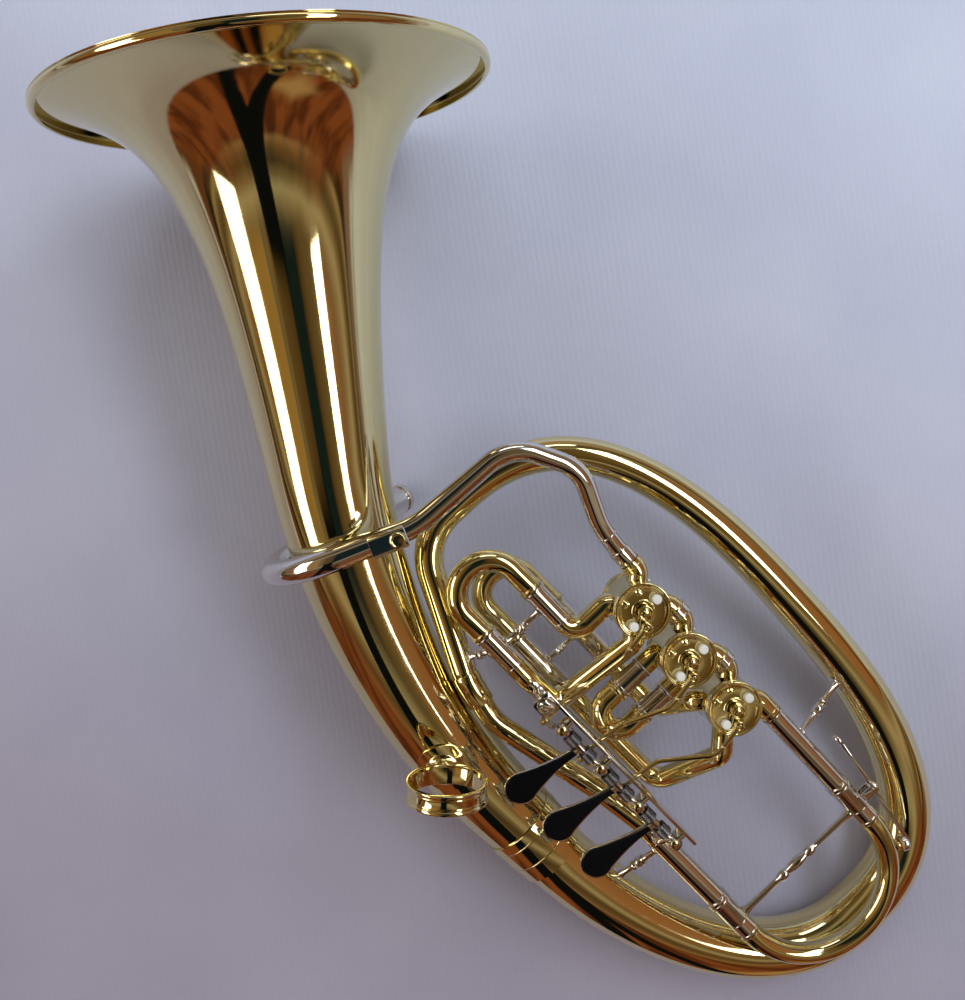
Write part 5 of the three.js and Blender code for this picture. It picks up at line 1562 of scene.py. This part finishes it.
def leverParts():
    barrel = [
        (-sleeveHalf, 0),
        (-sleeveHalf, 2.2),
        (-sleeveHalf + 1.3, 2.2),
        (-sleeveHalf + 1.4, 1.95),
        (sleeveHalf - 1.4, 1.95),
        (sleeveHalf - 1.3, 2.2),
        (sleeveHalf, 2.2),
        (sleeveHalf, 0),
    ]
    chunks = [turned((0, 0, 0), (1, 0, 0), barrel, 32, 0.15), paddlePlate()]
    t, w, length = lever["crankThick"] / 2, lever["crankHalf"], lever["crank"]
    arm = [(-w, 0), (-w * 0.8, -length * 0.5), (-w, -length)]
    arm += [(w * math.cos(a), -length + w * math.sin(a)) for a in np.linspace(math.pi, 2 * math.pi, 15)[1:-1]]
    arm += [(w, -length), (w * 0.8, -length * 0.5), (w, 0)]
    plate = slab(arm, edged(-t, t, 0.3))
    matrix = np.eye(4)
    matrix[:3, 0], matrix[:3, 1], matrix[:3, 2] = (0, 1, 0), (0, 0, 1), (1, 0, 0)
    matrix[:3, 3] = (crankMiddle, 0, 0)
    pinEnd = crankMiddle - t - lever["crankPinLength"]
    pin = rodX(pinEnd, crankMiddle, 0, -length, lever["crankPin"], 24, 0.25)
    swing = np.array(Matrix.Rotation(math.radians(-lever["travel"] / 2), 4, "X"))
    chunks += [moved(moved(plate, matrix), swing), moved(pin, swing)]
    return chunks


def inlayParts():
    outline = paddleOutline(lever["rim"] + 0.05, -lever["sleeve"] - 1.2)
    high = lever["thick"] / 2 + 0.28
    levels = [(0.2, 0), (high - 0.28, 0), (high - 0.1, 0.1), (high - 0.02, 0.35), (high, 0.8)]
    return [moved(slab(outline, levels), dropTurn)]


# One wire: a coil on each side of the middle, with a straight end at both
def springPath():
    perTurn = 20
    turns = coil["curls"] + 0.25
    start = coil["gap"] + coil["pitch"] * turns
    points = [vec(-start, coil["radius"], -coil["leg"])]
    for i in range(int(perTurn * turns) + 1):
        angle = 2 * math.pi * i / perTurn
        x = -start + coil["pitch"] * i / perTurn
        points.append(vec(x, coil["radius"] * math.cos(angle), coil["radius"] * math.sin(angle)))
    mirrored = [vec(-p[0], p[1], p[2]) for p in reversed(points)]
    return TubePath([*points, *mirrored])


link = {"radius": 1.2, "eye": 2.3, "thick": 2.2, "clearance": 0.4, "openEye": 2.9,
        "openClearance": 0.9, "shift": 2.8, "bow": 2.8, "drop": 1.5, "bend": 9.0,
        "shares": (0.27, 0.62, 0.84)}


def eyeRing(origin, axis, outer, inner, thick):
    half = unit(axis) * thick / 2
    path = TubePath([origin - half, origin + half])
    outline = [(0, inner), (0, outer), (thick, outer), (thick, inner)]
    return sweep(path, softened(outline, 0.35), 36)


# A bent rod from the stop arm's pin down to the lever's crank pin, with an eye at each end
def linkParts(k):
    pinAngle = math.radians(stop["rest"])
    pinX = valveX[k] + stop["pinAt"] * math.cos(pinAngle)
    pinY = stop["pinAt"] * math.sin(pinAngle)
    highZ = armZ + stop["arm"] + fit["seatGap"] + link["thick"] / 2
    swing = math.radians(lever["travel"] / 2)
    crankY = rodY - lever["crank"] * math.sin(swing)
    crankZ = rodZ - lever["crank"] * math.cos(swing)
    eyeX = leverX[k] + crankMiddle - lever["crankThick"] / 2 - link["shift"]
    span = crankY - pinY
    corners = [
        vec(pinX, pinY, highZ),
        vec(pinX + link["bow"], pinY + span * link["shares"][0], highZ),
        vec(eyeX + link["bow"] / 2, pinY + span * link["shares"][1], crankZ + link["drop"]),
        vec(eyeX, pinY + span * link["shares"][2], crankZ),
        vec(eyeX, crankY, crankZ),
    ]
    path = TubePath(bentCorners(corners, [link["bend"], link["bend"], 2 * link["eye"]]))
    ends = (link["eye"] - 0.4, path.length - link["openEye"] + 0.4)
    stations = path.between(*ends)
    chunks = [solidSweep(path, [(s, link["radius"]) for s in stations], 28)]
    for at in (ends[0] + 11.0, ends[1] - 2.4):
        chunks.append(ringOn(path, lambda s: link["radius"], at, 1.2, 0.35, 28))
    bores = (stop["pin"] + link["clearance"], lever["crankPin"] + link["openClearance"])
    chunks.append(eyeRing(corners[0], vec(0, 0, 1), link["eye"], bores[0], link["thick"]))
    chunks.append(eyeRing(corners[-1], vec(1, 0, 0), link["openEye"], bores[1], link["thick"]))
    return chunks


wire = springPath()
for k in range(3):
    number = k + 1
    place = placed(leverX[k], rodY, rodZ)
    piece(f"lever_{number}", leverParts(), nickel, local=place)
    piece(f"paddle_inlay_{number}", inlayParts(), black, local=place, sharp=50)
    coilChunk = solidSweep(wire, [(s, coil["wire"]) for s in wire.stations], 14)
    piece(f"lever_spring_{number}", [coilChunk], steel, local=place)
    piece(f"link_{number}", linkParts(k), brass)
print("lever work made")

# Thumb ring

ring = {"radius": 18.4, "width": 9.5, "wall": 1.5, "x": -39.4, "aside": 6.4, "angle": 135.7,
        "postHeight": 3.6, "base": 12.4, "baseThick": 1.6, "blend": 2.6}
samples = np.linspace(0, bellPath.length, 4000)
onBell = bellPath.frames(samples)[0]
ringStation = float(samples[np.argmax(onBell[:, 0] < ring["x"])])
ringAxis, ringTangent = bellPath.at(ringStation)[:2]
sideWay = unit(vec(-ringTangent[1], ringTangent[0]))
ringCentre = ringAxis + sideWay * ring["aside"]


def sheetHeight(aside):
    return np.sqrt((bellRadiusAt(ringStation) + fit["seatGap"] + ring["baseThick"]) ** 2 - aside**2)


ringFoot = float(sheetHeight(ring["aside"]))
ringZ = ringFoot + ring["postHeight"] + ring["radius"]


# The stem's foot is drawn down onto the saddle, which follows the bell's bow
def thumbRingParts():
    around = np.linspace(0, 2 * math.pi, 65)[:-1]
    circle = [(ring["base"] * math.cos(a), ring["base"] * math.sin(a)) for a in around]
    leaning = angleTowards(bellPath, ringStation, sideWay * ring["aside"] + vec(0, 0, ringFoot))
    base = saddle(bellPath, ringStation, leaning, bellRadiusAt, circle, 1.5, rings=10)
    cx, cy, _ = ringCentre
    stem = [
        (ringFoot - 0.5, 0),
        (ringFoot - 0.5, 8.6),
        (ringFoot + 0.1, 8.1),
        (ringFoot + 0.7, 6.6),
        (ringFoot + 1.7, 5.7),
        (ringFoot + ring["postHeight"] + 0.8, 5.4),
        (ringFoot + ring["postHeight"] + 0.8, 0),
    ]
    points, faces = turned((cx, cy, 0), (0, 0, 1), stem, 48, 0.6)
    aside = (points - ringAxis) @ sideWay
    held = np.clip(1 - (points[:, 2] - ringFoot) / ring["blend"], 0, 1)
    points[:, 2] += (sheetHeight(aside) - ringFoot) * held
    way = vec(math.cos(math.radians(ring["angle"])), math.sin(math.radians(ring["angle"])))
    middle = vec(cx, cy, ringZ)
    w, r = ring["width"], ring["radius"]
    outline = [
        (0, r - ring["wall"]),
        (0, r + 0.5),
        (0.9, r + 0.7),
        (1.7, r + 0.35),
        (2.1, r),
        (2.6, r + 0.25),
        (3.1, r),
        (w - 3.1, r),
        (w - 2.6, r + 0.25),
        (w - 2.1, r),
        (w - 1.7, r + 0.35),
        (w - 0.9, r + 0.7),
        (w, r + 0.5),
        (w, r - ring["wall"]),
    ]
    path = TubePath([middle - way * w / 2, middle + way * w / 2])
    return [base, (points, faces), sweep(path, softened(outline, 0.35), 96)]


piece("thumb_ring", thumbRingParts(), brass)

# The rotors keep their CAD shape
for node, kept in frame["nodes"].items():
    if node.startswith("valve_rotor"):
        kept.data.materials.clear()
        kept.data.materials.append(brass)
print("thumb ring made")

# Floor, light and camera

sheet = {
    "reach": 3.0,
    "nearEdge": -0.37,  # just outside the picture
    "cells": 24,
    "drop": 0.0008,
    "dark": (0.42, 0.44, 0.59),
    "light": (0.47, 0.49, 0.64),
    "cloudScale": 7,
    # Painted light and shade: the sheet's colour is tinted lighter along the next way and darker and pinker
    # against it, standing in for light that falls unevenly
    "paintedLightWay": (0.52, 1.2, 0),  # way in which the sheet grows lighter, with its strength
    "paintedLightRange": (-0.28, 0.37),
    "paintedShadeTint": (0.80, 0.74, 0.73),
    "paintedLightTint": (1.26, 1.36, 1.36),
    "ribScale": 95,
    "ribWander": 2.2,
    "threadScale": 420,
    "ribShare": 0.6,
    "relief": 0.0006,
    "reliefStrength": 0.25,
}


def floorFinish():
    material = bpy.data.materials.new("paleFloor")
    material.use_nodes = True
    nodes, links = material.node_tree.nodes, material.node_tree.links
    shader = nodes["Principled BSDF"]
    shader.inputs["Roughness"].default_value = 0.9
    shader.inputs["Specular IOR Level"].default_value = 0.15
    where = nodes.new("ShaderNodeTexCoord")
    shade = nodes.new("ShaderNodeTexNoise")
    shade.inputs["Scale"].default_value = sheet["cloudScale"]
    shade.inputs["Detail"].default_value = 4
    links.new(where.outputs["Object"], shade.inputs["Vector"])
    ramp = nodes.new("ShaderNodeValToRGB")
    ramp.color_ramp.elements[0].position = 0.35
    ramp.color_ramp.elements[0].color = (*sheet["dark"], 1)
    ramp.color_ramp.elements[1].position = 0.68
    ramp.color_ramp.elements[1].color = (*sheet["light"], 1)
    links.new(shade.outputs["Fac"], ramp.inputs["Fac"])
    # Painted light and shade: the cloud colour is multiplied by a tint that runs from painted shade to
    # painted light along one way across the sheet
    along = nodes.new("ShaderNodeVectorMath")
    along.operation = "DOT_PRODUCT"
    along.inputs[1].default_value = sheet["paintedLightWay"]
    links.new(where.outputs["Object"], along.inputs[0])
    share = nodes.new("ShaderNodeMapRange")
    share.inputs["From Min"].default_value, share.inputs["From Max"].default_value = sheet["paintedLightRange"]
    links.new(along.outputs["Value"], share.inputs["Value"])
    paintedLightMix = nodes.new("ShaderNodeMix")
    paintedLightMix.data_type = "RGBA"
    paintedLightMix.inputs["A"].default_value = (*sheet["paintedShadeTint"], 1)
    paintedLightMix.inputs["B"].default_value = (*sheet["paintedLightTint"], 1)
    links.new(share.outputs["Result"], paintedLightMix.inputs["Factor"])
    cloudsWithPaintedLight = nodes.new("ShaderNodeMix")
    cloudsWithPaintedLight.data_type = "RGBA"
    cloudsWithPaintedLight.blend_type = "MULTIPLY"
    cloudsWithPaintedLight.inputs["Factor"].default_value = 1
    links.new(ramp.outputs["Color"], cloudsWithPaintedLight.inputs["A"])
    links.new(paintedLightMix.outputs["Result"], cloudsWithPaintedLight.inputs["B"])
    links.new(cloudsWithPaintedLight.outputs["Result"], shader.inputs["Base Color"])
    ribs = nodes.new("ShaderNodeTexWave")
    ribs.inputs["Scale"].default_value = sheet["ribScale"]
    ribs.inputs["Distortion"].default_value = sheet["ribWander"]
    ribs.inputs["Detail"].default_value = 2
    ribs.inputs["Detail Scale"].default_value = 6
    links.new(where.outputs["Object"], ribs.inputs["Vector"])
    thread = nodes.new("ShaderNodeTexNoise")
    thread.inputs["Scale"].default_value = sheet["threadScale"]
    thread.inputs["Detail"].default_value = 4
    links.new(where.outputs["Object"], thread.inputs["Vector"])
    weave = nodes.new("ShaderNodeMath")
    weave.operation = "MULTIPLY_ADD"
    weave.inputs[1].default_value = sheet["ribShare"]
    links.new(ribs.outputs["Fac"], weave.inputs[0])
    links.new(thread.outputs["Fac"], weave.inputs[2])
    relief = nodes.new("ShaderNodeBump")
    relief.inputs["Strength"].default_value = sheet["reliefStrength"]
    relief.inputs["Distance"].default_value = sheet["relief"]
    links.new(weave.outputs["Value"], relief.inputs["Height"])
    links.new(relief.outputs["Normal"], shader.inputs["Normal"])
    return material


def floorMesh():
    mesh = bpy.data.meshes.new("floor")
    count = sheet["cells"]
    acrossX = np.linspace(-sheet["reach"], sheet["reach"], count + 1)
    acrossY = np.linspace(sheet["nearEdge"], sheet["reach"], count + 1)
    grid = [(float(x), float(y), -sheet["drop"]) for y in acrossY for x in acrossX]
    cells = []
    for j in range(count):
        for i in range(count):
            a, b = j * (count + 1) + i, (j + 1) * (count + 1) + i
            cells.append((a, a + 1, b + 1, b))
    mesh.from_pydata(grid, [], cells)
    mesh.materials.append(floorFinish())
    return mesh


floor = bpy.data.objects.new("floor", floorMesh())
bpy.context.scene.collection.objects.link(floor)
floor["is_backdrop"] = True
print("floor made")

world = bpy.data.worlds.new("softStudio")
bpy.context.scene.world = world
world.use_nodes = True
nodes, links = world.node_tree.nodes, world.node_tree.links


def mathNode(operation, *values):
    node = nodes.new("ShaderNodeMath")
    node.operation = operation
    for i, value in enumerate(values):
        if isinstance(value, (int, float)):
            node.inputs[i].default_value = value
        else:
            links.new(value, node.inputs[i])
    return node.outputs["Value"]


def colourMix(factor, a, b):
    node = nodes.new("ShaderNodeMix")
    node.data_type = "RGBA"
    links.new(factor, node.inputs["Factor"])
    for value, socket in ((a, node.inputs["A"]), (b, node.inputs["B"])):
        if isinstance(value, tuple):
            socket.default_value = (*value, 1)
        else:
            links.new(value, socket)
    return node.outputs["Result"]


def ramped(value, low, high):
    node = nodes.new("ShaderNodeMapRange")
    node.interpolation_type = "SMOOTHSTEP"
    node.inputs["From Min"].default_value = low
    node.inputs["From Max"].default_value = high
    links.new(value, node.inputs["Value"])
    return node.outputs["Result"]


def colourBands(value, stops):
    ramp = nodes.new("ShaderNodeValToRGB")
    while len(ramp.color_ramp.elements) < len(stops):
        ramp.color_ramp.elements.new(1.0)
    for element, (degrees, color) in zip(ramp.color_ramp.elements, stops):
        element.position = degrees / 180 + 0.5
        element.color = (*color, 1)
    links.new(value, ramp.inputs["Fac"])
    return ramp.outputs["Color"]


# What the metal mirrors. The bands lie by the angle in degrees from the zenith.
room = {
    "across": (
        (-90, (0.02, 0.018, 0.015)),
        (-80, (0.02, 0.018, 0.015)),
        (-78, (0.25, 0.10, 0.037)),
        (-66, (0.25, 0.10, 0.037)),
        (-62, (0.30, 0.17, 0.06)),
        (-28, (0.33, 0.19, 0.057)),
        (-27, (0.10, 0.12, 0.11)),
        (-23, (0.22, 0.13, 0.05)),
        (-20, (0.12, 0.075, 0.03)),
        (-6, (0.09, 0.05, 0.018)),
        (-4, (0.008, 0.018, 0.020)),
        (11, (0.008, 0.016, 0.018)),
        (14, (0.07, 0.04, 0.018)),
        (20, (0.12, 0.075, 0.03)),
        (27, (0.13, 0.09, 0.04)),
        (44, (0.29, 0.14, 0.07)),
        (70, (0.27, 0.12, 0.05)),
        (75, (0.16, 0.05, 0.012)),
        (82, (0.14, 0.045, 0.010)),
        (84, (0.46, 0.44, 0.46)),
        (90, (0.50, 0.48, 0.53)),
    ),
    "along": (
        (-90, (0.13, 0.045, 0.016)),
        (-68, (0.15, 0.055, 0.02)),
        (-64, (0.016, 0.014, 0.011)),
        (-56, (0.02, 0.02, 0.014)),
        (-53, (0.38, 0.28, 0.16)),
        (-48, (0.13, 0.10, 0.05)),
        (-43, (0.045, 0.045, 0.025)),
        (-38, (0.20, 0.15, 0.08)),
        (-34, (0.42, 0.35, 0.24)),
        (-30, (0.26, 0.20, 0.12)),
        (-26, (0.11, 0.08, 0.045)),
        (26, (0.12, 0.09, 0.05)),
        (34, (0.36, 0.31, 0.22)),
        (42, (0.10, 0.075, 0.04)),
        (52, (0.03, 0.028, 0.02)),
        (62, (0.30, 0.24, 0.16)),
        (90, (0.34, 0.30, 0.26)),
    ),
    "alongFrom": (0.13, 0.17),  # where the bands along the room take over, in half turns
    "alongShare": 0.8,
    "wobble": 0.035,
    "farWall": (0.34, 0.24, 0.16),
    "farFrom": (0.90, 0.98),
    "boards": (0.21, 0.062, 0.024),  # the near wall, low down
    "grain": (0.085, 0.024, 0.010),
    "grainFrom": (0.42, 0.62),
    "grainStretch": (1.6, 0.6, 0.35),
    "boardsTop": (0.86, 0.34),
    "boardsFrom": (-0.40, -0.56),
    "patch": (0.36, 0.22, 0.11),  # a lighter place on the boards
    "patchAt": 0.24,
    "patchSize": (0.42, 0.16),
    "below": (0.50, 0.48, 0.55),
    "belowFrom": (0.03, -0.03),
    "sheetEnd": (-0.25, -0.45),
}
posts = {  # two dark posts before the boards, which lean together and meet higher up
    "color": (0.004, 0.005, 0.006),
    "middle": -0.13,
    "lean": -0.13,
    "apart": 0.125,
    "meet": 1.1,
    "half": 0.045,
    "widen": 0.13,
    "rough": 0.05,
    "edge": (0.045, 0.025),
    "from": (-0.32, -0.40),
}


def noise(vector, scale, detail):
    node = nodes.new("ShaderNodeTexNoise")
    node.inputs["Scale"].default_value = scale
    node.inputs["Detail"].default_value = detail
    links.new(vector, node.inputs["Vector"])
    return node.outputs["Fac"]


way = nodes.new("ShaderNodeTexCoord").outputs["Generated"]
split = nodes.new("ShaderNodeSeparateXYZ")
links.new(way, split.inputs["Vector"])
wayX, wayY, wayZ = (split.outputs[letter] for letter in "XYZ")
cloudy = noise(way, 2.6, 3)
rise = mathNode("MAXIMUM", wayZ, 0.02)


def halfTurns(sideways):
    turn = mathNode("ARCTAN2", sideways, rise)
    level = mathNode("MULTIPLY_ADD", turn, 1 / math.pi, 0.5 - room["wobble"] / 2)
    return mathNode("MULTIPLY_ADD", cloudy, room["wobble"], level)


def bandsOfRoom():
    slope = halfTurns(wayY)
    leaning = mathNode("ABSOLUTE", mathNode("SUBTRACT", slope, 0.5))
    share = mathNode("MULTIPLY", ramped(leaning, *room["alongFrom"]), room["alongShare"])
    bands = colourMix(share, colourBands(halfTurns(wayX), room["across"]), colourBands(slope, room["along"]))
    return colourMix(ramped(wayY, *room["farFrom"]), bands, room["farWall"])


def nearWall(seen):
    low = mathNode("MULTIPLY", ramped(wayZ, *room["boardsTop"]), ramped(wayY, *room["boardsFrom"]))
    stretch = nodes.new("ShaderNodeMapping")
    stretch.inputs["Scale"].default_value = room["grainStretch"]
    links.new(way, stretch.inputs["Vector"])
    grain = noise(stretch.outputs["Vector"], 5.5, 4)
    boards = colourMix(ramped(grain, *room["grainFrom"]), room["boards"], room["grain"])
    seen = colourMix(low, seen, boards)
    away = mathNode("MAXIMUM", mathNode("MULTIPLY", wayY, -1.0), 0.05)
    across, high = mathNode("DIVIDE", wayX, away), mathNode("DIVIDE", wayZ, away)
    aside = mathNode("ABSOLUTE", mathNode("SUBTRACT", across, room["patchAt"]))
    spot = mathNode("ADD", aside, mathNode("ABSOLUTE", high))
    spot = mathNode("MULTIPLY_ADD", cloudy, 0.2, spot)
    seen = colourMix(mathNode("MULTIPLY", low, ramped(spot, *room["patchSize"])), seen, room["patch"])
    return colourMix(postMask(across, high), seen, posts["color"])


def postMask(across, high):
    centre = mathNode("MULTIPLY_ADD", high, posts["lean"], posts["middle"])
    fromMiddle = mathNode("ABSOLUTE", mathNode("SUBTRACT", across, centre))
    apart = mathNode("MULTIPLY_ADD", high, -posts["apart"] / posts["meet"], posts["apart"])
    edge = mathNode("ABSOLUTE", mathNode("SUBTRACT", fromMiddle, mathNode("MAXIMUM", apart, 0.0)))
    edge = mathNode("MULTIPLY_ADD", cloudy, posts["rough"], edge)
    half = mathNode("MULTIPLY_ADD", mathNode("MAXIMUM", high, 0.0), posts["widen"], posts["half"])
    inside = ramped(mathNode("SUBTRACT", edge, half), *posts["edge"])
    return mathNode("MULTIPLY", inside, ramped(wayY, *posts["from"]))


seen = nearWall(bandsOfRoom())
onSheet = mathNode("SUBTRACT", 1.0, ramped(wayY, *room["sheetEnd"]))
seen = colourMix(mathNode("MULTIPLY", ramped(wayZ, *room["belowFrom"]), onSheet), seen, room["below"])
direct = nodes.new("ShaderNodeLightPath").outputs["Is Camera Ray"]
seen = colourMix(direct, seen, room["below"])
background = nodes["Background"]
links.new(seen, background.inputs["Color"])
background.inputs["Strength"].default_value = 1.0
print("world made")


def softLight(name, place, aim, size, power, color, mirrored=True):
    data = bpy.data.lights.new(name, "AREA")
    data.shape = "RECTANGLE"
    data.size, data.size_y = size
    data.energy = power
    data.color = color
    lamp = bpy.data.objects.new(name, data)
    lamp.location = place
    lamp.rotation_euler = (Vector(aim) - Vector(place)).to_track_quat("-Z", "Y").to_euler()
    lamp.visible_glossy = mirrored
    bpy.context.scene.collection.objects.link(lamp)


softLight("windowLight", (-1.62, 0.15, 1.18), (0, 0.15, 0.05), (2.0, 0.62), 13, (1.0, 0.94, 0.91))
softLight("skyLight", (1.15, 0.25, 1.64), (0, 0.25, 0.05), (1.8, 0.40), 14, (0.93, 0.98, 1.0))
softLight("farLight", (0.5, 1.8, 1.2), (0, 0, 0.05), (1.0, 0.3), 3, (0.95, 0.98, 1.0))
softLight("topLight", (0.8, 0.9, 2.0), (0, 0, 0.05), (2.4, 2.4), 26, (0.94, 0.98, 1.0), mirrored=False)

lens = {
    "place": (-206.9, -16.2, 481.4),
    "view": (0.1806, -0.0052, -0.9835),
    "up": (-0.712, 0.689, -0.134),
    "length": 36.0,
    "sensor": 36.0,
}
turnOnly = rowFrame.to_3x3()
turnOnly.normalize()
forward = (turnOnly @ Vector(lens["view"])).normalized()
upward = turnOnly @ Vector(lens["up"])
rightward = forward.cross(upward).normalized()
upward = rightward.cross(forward).normalized()
camera = bpy.data.objects.new("camera", bpy.data.cameras.new("camera"))
camera.data.lens = lens["length"]
camera.data.sensor_width = lens["sensor"]
matrix = Matrix((rightward, upward, -forward)).transposed().to_4x4()
matrix.translation = rowFrame @ Vector(lens["place"])
camera.matrix_world = matrix
camera.data.clip_start = 0.01
bpy.context.scene.collection.objects.link(camera)
bpy.context.scene.camera = camera
bpy.context.scene.view_settings.view_transform = "Standard"

low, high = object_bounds()
